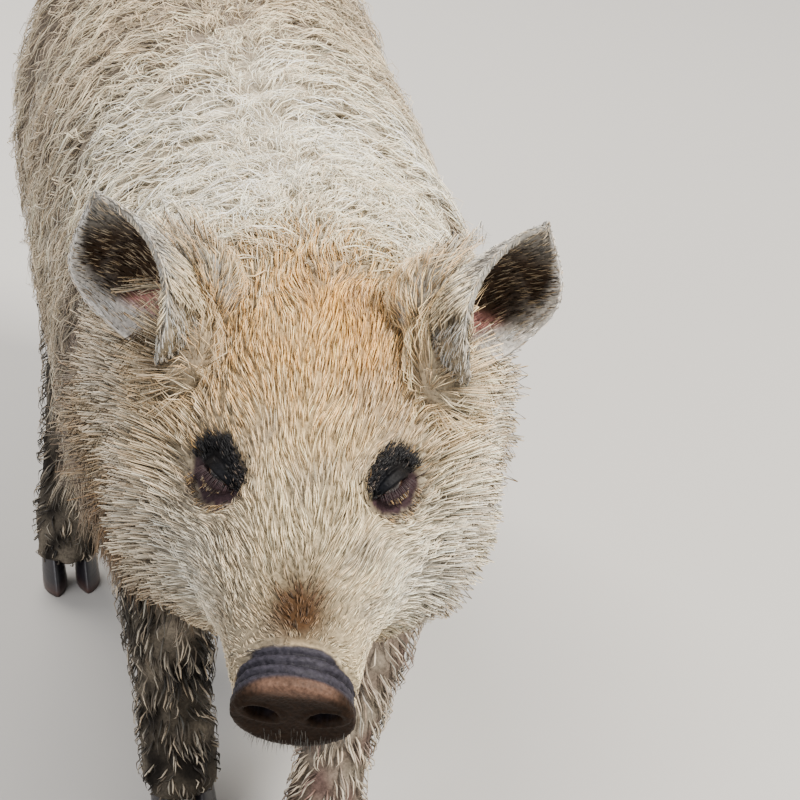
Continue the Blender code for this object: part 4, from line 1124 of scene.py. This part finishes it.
def laid(tree, roots, normals, lie, lengths, steps, follow=None):
    """Paths over the skin, as places and normals with one row of steps + 1 for each root."""
    place, up = roots, normals
    places, ups = [place], [up]
    for step in range(1, steps + 1):
        ways = lie(place)
        ways = unit(ways - up * (ways * up).sum(1, keepdims=True))
        goal = place + ways * (lengths / steps)[:, None]
        if follow is not None:
            goal = follow(goal, step / steps)
        place, near_up = nearest_on(tree, goal)
        up = unit(up + near_up)
        places.append(place)
        ups.append(up)
    return np.stack(places, 1), np.stack(ups, 1)


def waved(places, ups, rise, sway, turns, phase, lift):
    """The paths lifted over the skin in an arch and swung from side to side as they go."""
    share = np.linspace(0, 1, places.shape[1])[None, :]
    sides = unit(np.cross(unit(np.gradient(places, axis=1)), ups))
    height = rise[:, None] * np.sin(math.pi * np.minimum(0.14 + 0.62 * share, 1.0)) ** 1.2
    height = height * ease(share, -0.05, 0.30) - 0.0010 * (share == 0)
    angle = math.tau * turns[:, None] * share + phase[:, None]
    swing = sway[:, None] * ease(share, 0.0, 0.35)
    up_by = height + lift * swing * np.cos(angle)
    return places + ups * up_by[:, :, None] + sides * (swing * np.sin(angle))[:, :, None]


def clumped(paths, roots, every, pull, seed):
    """Draws the hairs together at their tips, each to the nearest of a few leading hairs."""
    count = len(roots) // every
    leaders = np.random.default_rng(seed).choice(len(roots), count, replace=False)
    tree = KDTree(count)
    for i, leader in enumerate(leaders):
        tree.insert(roots[leader], i)
    tree.balance()
    led_by = leaders[[tree.find(root)[1] for root in roots]]
    share = np.linspace(0, 1, paths.shape[1])[None, :, None]
    goal = paths[led_by] + (roots - roots[led_by])[:, None] * 0.15
    return paths + (goal - paths) * pull * share ** 1.6


def varied(colours, draw, amount, dark):
    """Each hair a little lighter or darker, warmer or cooler, and a few much darker."""
    count = len(colours)
    made = colours * draw.normal(1.0, amount, count)[:, None]
    warmth = draw.normal(0.0, HAIR_WARMTH, count)[:, None]
    made = made * (1.0 + np.array((1.0, 0.0, -1.0)) * warmth)
    return np.where(draw.random(count)[:, None] < dark, made * 0.45, made)


def tuft_faces(rings, count):
    """The triangles of so many tufts, of three points a ring and one at the tip."""
    faces = [(2, 1, 0)]
    for ring in range(rings - 1):
        for corner in range(3):
            a, b = ring * 3 + corner, ring * 3 + (corner + 1) % 3
            faces += [(a, b, b + 3), (a, b + 3, a + 3)]
    last = (rings - 1) * 3
    faces += [(last + corner, last + (corner + 1) % 3, rings * 3) for corner in range(3)]
    steps = np.arange(count)[:, None, None] * (rings * 3 + 1)
    return (np.array(faces)[None] + steps).reshape(-1, 3)


def tufts(name, slot, paths, ups, draw, widths, colours, charts, vary=0.2, dark=0.10,
          thickness=0.6, shade=ROOT_PAINTED_SHADE, tip=TIP_PAINTED_LIGHT):
    """One piece of closed tufts along the paths, each with its OFBake patch, with painted shade at the
    root and on two sides and painted light at the tip and crown.
    """
    count, points = paths.shape[:2]
    widths = draw.uniform(*widths, count)
    colours = varied(colours, draw, vary, dark)
    rings = points - 1
    share = np.linspace(0, 1, points)
    ways = unit(np.gradient(paths, axis=1))
    sides = unit(np.cross(ways, ups))
    over = np.cross(sides, ways)[:, :rings]
    taper = (0.55 + 0.45 * np.sin(math.pi * np.minimum(share * 1.3, 1.0))) * (1 - share ** 2.2)
    half = (widths[:, None] * taper / 2)[:, :rings, None]
    middle, aside = paths[:, :rings], sides[:, :rings] * half
    low = over * half * thickness * 0.5
    rounds = np.stack((middle - aside - low, middle + over * half * thickness,
                       middle + aside - low), 2).reshape(count, rings * 3, 3)
    verts = np.concatenate((rounds, paths[:, rings:]), 1)
    triangles = tuft_faces(rings, count)

    mesh = bpy.data.meshes.new(name)
    mesh.vertices.add(verts.size // 3)
    mesh.vertices.foreach_set("co", verts.astype(np.float32).ravel())
    mesh.loops.add(triangles.size)
    mesh.loops.foreach_set("vertex_index", triangles.astype(np.int32).ravel())
    mesh.polygons.add(len(triangles))
    mesh.polygons.foreach_set("loop_start", np.arange(0, triangles.size, 3, dtype=np.int32))
    mesh.update(calc_edges=True)
    mesh.shade_smooth()

    # Painted shade at the root rising to painted light at the tip, times painted shade and light across
    # the three sides.
    of_point = np.append(np.repeat(share[:rings], 3), 1.0)
    painted_light = shade + (tip - shade) * ease(of_point, 0.0, 0.75)
    painted_light = painted_light * np.append(np.tile(ACROSS_PAINTED_SHADE, rings), 1.0)
    add_colours(mesh, "tint", (colours[:, None] * painted_light[None, :, None]).reshape(-1, 3))
    across = np.append(np.tile((0.0, 0.5, 1.0), rings), 0.5)
    patch = np.stack((across, of_point), 1) * PATCH
    spots = (charts[:, None] * (1 - PATCH) + patch[None]).reshape(-1, 2)
    layer = mesh.uv_layers.new(name="OFBake")
    layer.data.foreach_set("uv", spots[triangles.ravel()].astype(np.float32).ravel())
    mesh.materials.append(hair)
    settle(linked(name, mesh), slot)


def coat(name, slot, draw, roots, normals, lie, lengths, steps, rise, sway, turns, widths, colour,
         charts, lift=0.0, clump=None, follow=None, tree=skin_tree, grown=1.0, raised=0.0, **looks):
    """One piece of hair from the roots: laid over the hide, waved, gathered and made solid."""
    count = len(roots)
    places, ups = laid(tree, roots, normals, lie, lengths, steps, follow)
    paths = waved(places, ups, draw.uniform(*rise, count) * grown + raised,
                  draw.uniform(*sway, count), draw.uniform(*turns, count),
                  draw.uniform(0, math.tau, count), lift)
    if clump is not None:
        paths = clumped(paths, roots, *clump)
    tufts(name, slot, paths, ups, draw, widths, colour(draw), charts, **looks)


def swirl(places, size, seed):
    """A smooth random way at each place."""
    return np.stack([waves(places, size, seed + i) for i in range(3)], 1)


def body_chart(places):
    """Where places of the body lie on its unwrap, a tube cut open below."""
    around = np.arctan2(places[:, 0], places[:, 2] - FLANK_AXIS) / math.tau + 0.5
    return np.clip(np.stack((around, (places[:, 1] + 0.55) / 1.05), 1), 0, 1)


# The hairs of face and body keep off the ears, whose triangles are told by their place.
ear_grounds = {}
middles = skin_vertices[skin_corners].mean(1)
off_ears = np.ones(len(middles), bool)
for name, side in SIDES.items():
    mesh = ear_meshes[name]
    corners = np.array([polygon.vertices[:] for polygon in mesh.polygons])
    ground = (points_of(mesh), normals_of(mesh), corners)
    ear_tree = BVHTree.FromPolygons([Vector(place) for place in ground[0]], corners.tolist())
    ear_grounds[name] = (ground, ear_tree)
    outward, out, forward = ear_place(middles, side)
    for i in np.flatnonzero(np.hypot(np.hypot(outward, 0.05 * out), forward) < EAR_NEAR):
        off_ears[i] &= ear_tree.find_nearest(middles[i].tolist())[3] > EAR_GAP
skin_ground = (skin_vertices, skin_normals, skin_corners[off_ears])


def off_head(places):
    """1 on the body and 0 on the head, its ears and the snout."""
    own = carried(places, INTO_HEAD)
    share = 1.0 - ease(-own[:, 1], -0.070, 0.012) * ease(own[:, 2], -0.24, -0.20)
    for side in SIDES.values():
        share = share * (1.0 - in_hollow(places, side))
    return share


def on_trunk(places):
    return off_head(places) * ease(places[:, 2], 0.200, 0.235) * (places[:, 1] < 0.418)


def on_ridges(places):
    """1 on the ridges' tops and less in their hollows."""
    return 1.0 - 0.70 * ridge_hollow(places)


def body_lie(places):
    """Down the flank, and backwards along the crest and the back."""
    side = np.sign(places[:, 0])
    turn = np.arctan2(np.abs(places[:, 0]), places[:, 2] - FLANK_AXIS)
    crest = 1.0 - ease(turn, 0.05, 0.38)
    back = 0.10 + 0.8 * crest + 0.18 * waves(places, 0.12, 41)
    ways = np.stack((side * np.cos(turn), back, -np.sin(turn) - 0.15), 1)
    return unit(ways + 0.16 * swirl(places, 0.05, 42))


def curl_lie(places):
    """Down and back as the locks, but tousled."""
    return unit(body_lie(places) + 0.9 * swirl(places, 0.024, 45))


def to_ridge(start):
    """Keeps paths on their way along a ridge, drawn in towards its top as they go."""
    def keep(goal, share):
        wanted = start + (np.round(start) - start) * GATHER * min(share * 1.6, 1.0)
        step = (wanted - ridge_place(goal)) * RIDGE_APART * ridge_weight(goal) * 0.9
        return goal + ridge_way(goal) * np.clip(step, -GATHER_STEP, GATHER_STEP)[:, None]
    return keep


for number, (name, (near, far, count)) in enumerate(STRETCHES.items()):
    def in_stretch(places):
        return on_trunk(places) * (places[:, 1] >= near) * (places[:, 1] < far)

    draw = np.random.default_rng(500 + number)
    roots, normals = scatter(skin_ground, count, in_stretch, 600 + number)
    # The locks' colour gets painted light on the ridges' tops and painted shade in the hollows.
    coat(name, "coat", draw, roots, normals, body_lie, draw.uniform(*BODY_LENGTH, count), 6,
         BODY_RISE, BODY_SWAY, (0.8, 1.7), BODY_WIDTH,
         lambda _: coat_colour(roots) * (RIDGE_TOP_PAINTED_LIGHT - HOLLOW_PAINTED_SHADE * ridge_hollow(roots))[:, None],
         body_chart(roots), lift=0.6, clump=(8, 0.5, 601), follow=to_ridge(ridge_place(roots)),
         vary=0.13, thickness=0.5)
    roots, normals = scatter(skin_ground, CURL_COUNT,
                             lambda places: in_stretch(places) * on_ridges(places), 605 + number)
    coat(f"{name}_curls", "coat", draw, roots, normals, curl_lie,
         draw.uniform(*CURL_LENGTH, CURL_COUNT), 4, CURL_RISE, CURL_SWAY, (0.6, 1.2), CURL_WIDTH,
         lambda _: coat_colour(roots) * 1.15, body_chart(roots), lift=0.8, clump=(5, 0.4, 607),
         vary=0.13, shade=0.45, tip=1.35)


# The crest: loose fluffy whitish curls along the spine and over the neck, rooted in the hide
# between the ridges, tousled and standing higher than the locks.
CREST_COUNT = 4400
CREST_LENGTH = (0.018, 0.036)
CREST_RISE = (0.004, 0.0115)
CREST_SWAY = (0.0016, 0.0046)
CREST_WIDTH = (0.0004, 0.0009)


def crest_lie(places):
    side = np.sign(places[:, 0] + 0.03 * waves(places, 0.04, 51))
    ways = np.stack((0.55 * side, 0.65 + 0.5 * waves(places, 0.06, 52), 0.2 + 0 * side), 1)
    return unit(ways + 0.8 * swirl(places, 0.03, 53))


def on_crest(places):
    """Densest along the spine and over the neck, where the ridges fade."""
    share = 0.05 + bump_at(places[:, 0], 0.0, 0.045) + 0.9 * ease(-places[:, 1], 0.16, 0.30)
    return on_trunk(places) * ease(places[:, 2], 0.41, 0.48) * share * on_ridges(places)


draw = np.random.default_rng(510)
roots, normals = scatter(skin_ground, CREST_COUNT, on_crest, 610)
coat("coat_crest", "coat", draw, roots, normals, crest_lie,
     draw.uniform(*CREST_LENGTH, CREST_COUNT), 7, CREST_RISE, CREST_SWAY, (0.8, 1.9), CREST_WIDTH,
     lambda _: coat_colour(roots), body_chart(roots), lift=0.8, clump=(9, 0.45, 611), vary=0.12,
     thickness=0.5, shade=0.42, tip=1.42)


# The chest's coat: ochre curls that hang free from throat and brisket before the legs. They are
# rooted in the hide, so they are drawn straight out from it and down, not laid over it.
CHEST_COUNT = 2200
CHEST_LENGTH = (0.026, 0.046)
CHEST_WIDTH = (0.0008, 0.0016)
CHEST_SWAY = 0.0030
CHEST_POINTS = 5


def on_chest(places):
    """1 on the throat, the brisket and the fold before the forelegs."""
    low = (1.0 - ease(places[:, 2], 0.29, 0.37)) * ease(places[:, 2], 0.215, 0.235)
    return off_head(places) * low * ease(-places[:, 1], 0.10, 0.16)


draw = np.random.default_rng(515)
roots, normals = scatter(skin_ground, CHEST_COUNT, on_chest, 615)
lengths = draw.uniform(*CHEST_LENGTH, CHEST_COUNT)[:, None, None]
steps = np.linspace(0, 1, CHEST_POINTS)[None, :, None]
ups = np.repeat(normals[:, None], CHEST_POINTS, 1)
ways = unit(np.stack((0.25 * waves(roots, 0.05, 56), 0.10 + 0.25 * waves(roots, 0.05, 57),
                      -1.0 + 0 * roots[:, 0]), 1))[:, None]
paths = roots[:, None] - 0.001 * ups + lengths * (steps * ways + ups * (0.50 * steps - 0.30 * steps ** 2))
swing = np.sin(steps * 7 + draw.uniform(0, math.tau, CHEST_COUNT)[:, None, None]) * steps * CHEST_SWAY
paths = clumped(paths + unit(np.cross(ways, ups[:, :1])) * swing, roots, 6, 0.5, 616)
tufts("coat_chest", "coat", paths, ups, draw, CHEST_WIDTH, coat_colour(roots), body_chart(roots),
      vary=0.18, shade=0.45, tip=1.25)


# The face's coat: short fine hairs rooted in the head's hide, which fan out from the nose bridge
# over brow and cheeks, shortest by the snout and the eyes and longest on the cheeks.
FACE_COUNTS = {"face_upper": 18200, "face_lower": 14800}
FACE_LENGTH = (0.010, 0.019)
FACE_WIDTH = (0.00045, 0.00095)
FACE_RISE = (0.0010, 0.0032)
FACE_SWAY = (0.0, 0.0006)
FACE_SPLIT = -0.090
FACE_GOLD = paint(222, 170, 92)
CHEEK_LENGTH = 1.3
CHEEK_RISE = 2.4
GOLDEN_SHARE = 0.45
NOSE_BRIDGE = np.array((0.0, -0.215, -0.070))
HEAD_AXES = np.array(HEAD_PLACE)[:3, :3]


def head_chart(places):
    """Where places of the head lie on its unwrap, a tube cut open below."""
    own = carried(places, INTO_HEAD)
    around = np.arctan2(own[:, 0], own[:, 2] + 0.085) / math.tau + 0.5
    return np.clip(np.stack((around, (own[:, 1] + 0.26) / 0.32), 1), 0, 1)


def on_face(places):
    """1 on the haired face and 0 on its lids, its snout and behind the poll."""
    own = carried(places, INTO_HEAD)
    share = ease(-own[:, 1], -0.085, -0.015) * ease(own[:, 2], -0.24, -0.20)
    share = share * (1.0 - ease(past_hair(own), -0.001, 0.003))
    for side in SIDES.values():
        share = share * ease(eye_reach(own, side), 0.72, 1.02) * (1.0 - in_hollow(places, side))
    return share


def face_lie(places):
    """Away from the nose bridge, down over the cheeks and round the eyes."""
    own = carried(places, INTO_HEAD)
    side = np.sign(own[:, 0])
    cheek = ease(np.abs(own[:, 0]), 0.035, 0.080)
    ways = unit(own - NOSE_BRIDGE) + np.stack((0.15 * side, 0.25 + 0 * side, 0.15 - 0.75 * cheek), 1)
    ways = ways + 0.25 * swirl(own, 0.035, 61)
    for side in SIDES.values():
        away = unit(own - lid_axes(side)[0])
        inward = np.minimum((ways * away).sum(1), 0.15) - 0.15
        ways = ways - away * (inward * (1.0 - ease(eye_reach(own, side), 0.9, 2.2)))[:, None]
    return unit(ways) @ HEAD_AXES.T


for number, (name, count) in enumerate(FACE_COUNTS.items()):
    def in_half(places):
        return on_face(places) * ((carried(places, INTO_HEAD)[:, 2] > FACE_SPLIT) == (number == 0))

    def face_tone(draw):
        golden = bump_at(own[:, 0], 0.0, 0.075) * ease(own[:, 1], -0.15, -0.05)
        golden = golden * (draw.random(count) < GOLDEN_SHARE)
        return mixed(coat_colour(roots), FACE_GOLD, 0.75 * golden)

    draw = np.random.default_rng(520 + number)
    roots, normals = scatter(skin_ground, count, in_half, 620 + number)
    own = carried(roots, INTO_HEAD)
    cheek = ease(np.abs(own[:, 0]), 0.045, 0.075) * ease(own[:, 1], -0.16, -0.09)
    size = 1.0 + 0.9 * ease(own[:, 1], -0.06, 0.02) + 0.7 * ease(-own[:, 2], 0.115, 0.150)
    size = (size + CHEEK_LENGTH * cheek) * (0.55 + 0.45 * ease(own[:, 1], -0.21, -0.15))
    for side in SIDES.values():
        size = size * (0.55 + 0.45 * ease(eye_reach(own, side), 1.0, 1.8))
    coat(name, "face", draw, roots, normals, face_lie, draw.uniform(*FACE_LENGTH, count) * size, 2,
         FACE_RISE, FACE_SWAY, (0.3, 0.8), FACE_WIDTH, face_tone, head_chart(roots),
         clump=(6, 0.55, 621), grown=size * (1.0 + CHEEK_RISE * cheek), dark=0.18, shade=0.48,
         tip=1.26)


# The legs' coat: short curls rooted in the hide, dark with pale ones among them, which hang down
# and back and are shortest over the feet.
LEG_COUNT = 4800
LEG_LENGTH = (0.016, 0.029)
LEG_WIDTH = (0.0011, 0.0021)
LEG_RISE = (0.0030, 0.0080)
LEG_SWAY = (0.0004, 0.0016)
LEG_PALE_SHARE = (0.26, 0.62)


def leg_lie(places):
    return unit(np.stack((0.25 * waves(places, 0.04, 71), 0.28 + 0.3 * waves(places, 0.04, 72),
                          -1.0 + 0 * places[:, 0]), 1))


for number, name in enumerate(("coat_forelegs", "coat_hindlegs")):
    def on_legs(places):
        return (1.0 - ease(places[:, 2], 0.225, 0.265)) * ((places[:, 1] < 0) == (number == 0))

    def leg_tone(draw):
        left_front = ease(roots[:, 0], -0.045, 0.0) * ease(-roots[:, 1], 0.10, 0.16)
        share = LEG_PALE_SHARE[0] + (LEG_PALE_SHARE[1] - LEG_PALE_SHARE[0]) * left_front
        share = share * (0.7 + 0.8 * ease(waves(roots, 0.03, 73), -1, 1))
        return mixed(coat_colour(roots), LEG_PALE * 1.1, 0.85 * (draw.random(LEG_COUNT) < share))

    draw = np.random.default_rng(530 + number)
    roots, normals = scatter(skin_ground, LEG_COUNT, on_legs, 630 + number)
    low = 0.5 + 0.5 * ease(roots[:, 2], 0.03, 0.14)
    coat(name, "leg", draw, roots, normals, leg_lie, draw.uniform(*LEG_LENGTH, LEG_COUNT) * low, 3,
         LEG_RISE, LEG_SWAY, (0.5, 1.0), LEG_WIDTH, leg_tone, body_chart(roots), lift=0.5,
         clump=(7, 0.6, 631), grown=low, vary=0.18, shade=0.50, tip=1.25)


# The ears' coat: velvet on the backs and rims, longer fur on the inner fold and long fine hairs
# in the cup, all rooted in the ear's own skin and combed towards its tip.
EAR_COUNTS = {"back": 2900, "cup": 1700}
EAR_HAIR = (0.004, 0.007)
EAR_HAIR_WIDTH = (0.0006, 0.0012)
EAR_HAIR_RISE = (0.0002, 0.0009)
CUP_LONGER = 1.6
for name, side in SIDES.items():
    ground, ear_tree = ear_grounds[name]
    turn = np.array(ear_axes(side))[:3, :3]

    def ear_lie(places):
        outward, out, _ = ear_place(places, side)
        ways = np.stack((side * (0.10 + 0.8 * outward / 0.05), 1.0 + 0 * out, 0 * out), 1)
        return unit(ways) @ turn.T

    def ear_tone(draw):
        colours = mixed(coat_colour(roots, name), FACE_CREAM, 0.8 * fold * (draw.random(count) < 0.6))
        colours = mixed(colours, EAR_DARK, 0.8 * fold * (draw.random(count) < 0.15))
        if not cup:
            return colours
        colours = mixed(cup_colour(outward, out), BUFF, 0.65 * (draw.random(count) < 0.45))
        return mixed(colours, EAR_GREY, 0.55 * furry)

    for part, wanted in EAR_COUNTS.items():
        cup = part == "cup"
        draw = np.random.default_rng(540 + side + 3 * cup)
        roots, normals = scatter(ground, wanted * 3,
                                 lambda places: ease(ear_place(places, side)[1], 0.0, 0.12), 640 + side)
        kept = np.flatnonzero(((normals @ turn)[:, 2] > 0) == cup)[:wanted]
        roots, normals = roots[kept], normals[kept]
        count = len(roots)
        outward, out, _ = ear_place(roots, side)
        furry = ease(-outward, 0.002, 0.016) * (1.0 - ease(out, 0.30, 0.60))
        fold = near_fold(outward, out) * (1.0 - ease(out, 0.45, 0.80)) * (not cup)
        lengths = draw.uniform(*EAR_HAIR, count) * (CUP_LONGER if cup else 1.0)
        coat(f"ear_{name}_{part}", "ear", draw, roots, normals, ear_lie,
             lengths + 0.005 * furry + 0.008 * fold, 2, EAR_HAIR_RISE, FACE_SWAY, (0.3, 0.9),
             EAR_HAIR_WIDTH, ear_tone,
             np.clip(np.stack((outward / 0.16 + 0.5, out * 0.8 + 0.1), 1), 0, 1), tree=ear_tree,
             raised=0.0016 * (furry + fold), vary=0.16, shade=0.6, tip=1.15)


# The tail's coat: wavy locks rooted all round the tail, short along it and long in the tassel
# that hangs from its end.
TAIL_COUNT = 700
TAIL_WIDTH = (0.0014, 0.0026)
TAIL_LOCK = 0.026
TASSEL_LOCK = 0.060
TAIL_SWAY = 0.004
TAIL_STEPS = 7
draw = np.random.default_rng(550)
share = draw.random(TAIL_COUNT) ** 0.8
route = np.array([tuple(point) for point in tail_path])
spot_on = share * (len(route) - 1)
lower = np.minimum(spot_on.astype(int), len(route) - 2)
part_way = (spot_on - lower)[:, None]
roots = route[lower] * (1 - part_way) + route[lower + 1] * part_way
along = unit(route[lower + 1] - route[lower])
outwards = unit(np.cross(along, draw.normal(size=(TAIL_COUNT, 3))))
lengths = (TAIL_LOCK + TASSEL_LOCK * ease(share, 0.5, 0.9)) * draw.uniform(0.7, 1.0, TAIL_COUNT)
steps = np.linspace(0, 1, TAIL_STEPS)[None, :, None]
ways = unit(along + 0.5 * np.array((0.0, 0.1, -1.0)))
paths = roots[:, None] + outwards[:, None] * (0.006 + 0.012 * np.sin(steps * 2.2))
paths = paths + ways[:, None] * steps * lengths[:, None, None]
wave = np.sin(steps * 9 + draw.uniform(0, math.tau, TAIL_COUNT)[:, None, None]) * steps * TAIL_SWAY
paths = paths + np.cross(ways, outwards)[:, None] * wave
tufts("coat_tail", "coat", paths, np.repeat(outwards[:, None], TAIL_STEPS, 1), draw, TAIL_WIDTH,
      coat_colour(roots), body_chart(roots), vary=0.15)


# The fine hairs round the eyes: lashes on the upper lids, golden hairs on the lower ones, and
# dark brows over the lids' upper edge, all rooted in the lids' bare skin.
LASHES = 34
LASH_LENGTH = (0.0055, 0.0090)
LID_HAIRS = 190
LID_HAIR_LENGTH = (0.0035, 0.0070)
LID_HAIR_RISE = (0.0006, 0.0020)
BROW_HAIRS = 620
BROW_LENGTH = (0.004, 0.008)
BROW_RISE = (0.0008, 0.0026)
LASH_GOLD = paint(196, 158, 100)
FINE_WIDTH = (0.0004, 0.0007)
FINE_TURNS = (0.3, 0.7)


def lid_points(side, along, above, radius):
    """Places on a lid, in the pig's frame, from how far along it and above its middle."""
    eye, look, corner, up = lid_axes(side)
    depth = np.sqrt(np.clip(radius ** 2 - along ** 2 - above ** 2, 0, None))
    spots = eye + along[:, None] * corner + above[:, None] * up + depth[:, None] * look
    return carried(spots, HEAD_PLACE)


for name, side in SIDES.items():
    look, corner, up = (vector @ HEAD_AXES.T for vector in lid_axes(side)[1:])

    def brow_weight(places):
        """1 close round the upper edge of an eye's bare patch."""
        own = carried(places, INTO_HEAD)
        eye, _, _, upwards = lid_axes(side)
        return bump_at(eye_reach(own, side), 0.82, 0.16) * ease((own - eye) @ upwards, -0.003, 0.006)

    def lid_tone(draw):
        gold = mixed(GREY_BLOND, LASH_GOLD, draw.random(LID_HAIRS))
        return mixed(gold, LID_PLUM, 0.9 * (draw.random(LID_HAIRS) < 0.35))

    def brow_tone(draw):
        return mixed(UNDERCOAT_AND_SHADE * 0.55, LID_BLUE, 0.97 * (draw.random(BROW_HAIRS) < 0.96 - 0.10 * inner))

    draw = np.random.default_rng(560 + side)
    along = np.linspace(-0.0100, 0.0090, LASHES) + draw.uniform(-0.0003, 0.0003, LASHES)
    above = 0.0004 + 0.0019 * np.sqrt(np.clip(1 - (along / LID_SLIT[0]) ** 2, 0, 1))
    roots = lid_points(side, along, above, LID_RADIUS)
    lengths = draw.uniform(*LASH_LENGTH, LASHES)[:, None, None]
    steps = np.linspace(0, 1, 4)[None, :, None]
    fan = (along / 0.010)[:, None, None] * corner * 0.5
    droop = up * (0.35 * steps + 0.45 * steps ** 2)
    tufts(f"lashes_{name}", "face", roots[:, None] + lengths * (steps * (0.75 * look + fan) - droop),
          np.tile(look, (LASHES, 4, 1)), draw, FINE_WIDTH, np.tile(LID_PLUM, (LASHES, 1)),
          head_chart(roots), thickness=0.7, shade=0.8, tip=1.3)

    along = draw.uniform(-0.0165, 0.0150, LID_HAIRS)
    above = -0.0050 - 0.0135 * draw.random(LID_HAIRS) * np.sqrt(1 - (along / 0.018) ** 2)
    roots, normals = nearest_on(skin_tree, lid_points(side, along, above, 0.020))
    coat(f"lid_hairs_{name}", "face", draw, roots, normals,
         lambda places: np.tile(-up - 0.35 * corner, (len(places), 1)),
         draw.uniform(*LID_HAIR_LENGTH, LID_HAIRS), 2, LID_HAIR_RISE, (0, 0.0004), FINE_TURNS,
         FINE_WIDTH, lid_tone, head_chart(roots), thickness=0.7, shade=0.5, tip=1.2)

    roots, normals = scatter(skin_ground, BROW_HAIRS, brow_weight, 660 + side)
    inner = ease((roots - carried(lid_axes(side)[0], HEAD_PLACE)) @ corner, -0.004, 0.008)
    coat(f"brow_{name}", "face", draw, roots, normals,
         lambda places: np.tile(-corner + 0.55 * up, (len(places), 1)),
         draw.uniform(*BROW_LENGTH, BROW_HAIRS) * (1.0 - 0.45 * inner), 3, BROW_RISE, (0, 0.0008),
         FINE_TURNS, FINE_WIDTH, brow_tone, head_chart(roots), thickness=0.7, shade=0.5, tip=1.25)


# The bristles: short stiff dark hairs rooted round the snout's lower edge and on the chin, which
# stand out and droop at their tips.
BRISTLES = 520
BRISTLE_LENGTH = (0.003, 0.007)
BRISTLE_WIDTH = (0.00022, 0.0004)


def on_bristles(places):
    own = carried(places, INTO_HEAD)
    rim = ease(-own[:, 1], 0.222, 0.232) * ease(-own[:, 2], 0.082, 0.096)
    return rim + ease(-own[:, 1], 0.150, 0.180) * ease(-own[:, 2], 0.112, 0.122) * 0.35


draw = np.random.default_rng(570)
roots, normals = scatter(skin_ground, BRISTLES, on_bristles, 670)
lengths = draw.uniform(*BRISTLE_LENGTH, BRISTLES)[:, None, None]
steps = np.linspace(0, 1, 4)[None, :, None]
ups = np.repeat(normals[:, None], 4, 1)
droop = steps ** 1.6 * np.array((0.0, 0.25, -1.0)) * 0.6
tufts("bristles", "snout", roots[:, None] - 0.0006 * ups + lengths * (steps * ups * 0.8 + droop),
      ups, draw, BRISTLE_WIDTH, np.tile(EAR_GREY * 0.22, (BRISTLES, 1)), head_chart(roots),
      vary=0.25, dark=0.4, thickness=0.7, shade=0.6, tip=1.1)


# The studio: a wide pale floor, three soft lamps and a dim sky, and the camera, which looks down
# on the walking pig from in front and to its right, as the photographer did.
FLOOR_SIZE = 14.0
FLOOR_GREY = (0.42, 0.41, 0.395, 1.0)
AIM = Vector((0.0516, -0.3474, 0.38))
CAMERA_AZIMUTH = math.radians(-9.4)
CAMERA_ELEVATION = math.radians(26)
CAMERA_ROLL = math.radians(-2)
CAMERA_AWAY = 1.54
CAMERA_LENS = 117.0
LAMPS = {
    "key": ((1.5, -1.5, 2.6), 0.9, 272.0, (1.0, 0.95, 0.87)),
    "fill": ((-1.9, -1.4, 1.6), 1.8, 46.0, (0.98, 0.98, 1.0)),
    "rim": ((-0.4, 2.2, 2.2), 1.2, 120.0, (1.0, 0.95, 0.88)),
}
SKY = (0.90, 0.89, 0.89, 1.0)
SKY_STRENGTH = 0.78

bm = bmesh.new()
bmesh.ops.create_grid(bm, x_segments=2, y_segments=2, size=FLOOR_SIZE / 2)
floor = linked("studio_floor", mesh_from(bm, "studio_floor"))
floor.data.materials.append(plain_material("floor_grey", FLOOR_GREY, 0.9)[0])

for name, (spot, size, power, colour) in LAMPS.items():
    lamp = bpy.data.lights.new(name, "AREA")
    lamp.size = size
    lamp.energy = power
    lamp.color = colour
    holder = linked(f"lamp_{name}", lamp)
    holder.location = Vector(spot) + SHIFT
    away = holder.location - (AIM + SHIFT)
    holder.rotation_mode = "QUATERNION"
    holder.rotation_quaternion = away.to_track_quat("Z", "Y")

world = bpy.data.worlds.new("studio_sky")
scene.world = world
world.use_nodes = True
world.node_tree.nodes["Background"].inputs["Color"].default_value = SKY
world.node_tree.nodes["Background"].inputs["Strength"].default_value = SKY_STRENGTH

back_to_camera = Vector((
    math.sin(CAMERA_AZIMUTH) * math.cos(CAMERA_ELEVATION),
    -math.cos(CAMERA_AZIMUTH) * math.cos(CAMERA_ELEVATION),
    math.sin(CAMERA_ELEVATION),
))
camera = linked("camera", bpy.data.cameras.new("camera"))
camera.location = AIM + SHIFT + back_to_camera * CAMERA_AWAY
camera.rotation_mode = "QUATERNION"
camera.rotation_quaternion = (
    (-back_to_camera).to_track_quat("-Z", "Y") @ Quaternion((0, 0, 1), CAMERA_ROLL)
)
camera.data.sensor_width = 36.0
camera.data.lens = CAMERA_LENS
camera.data.clip_start = 0.05
scene.camera = camera
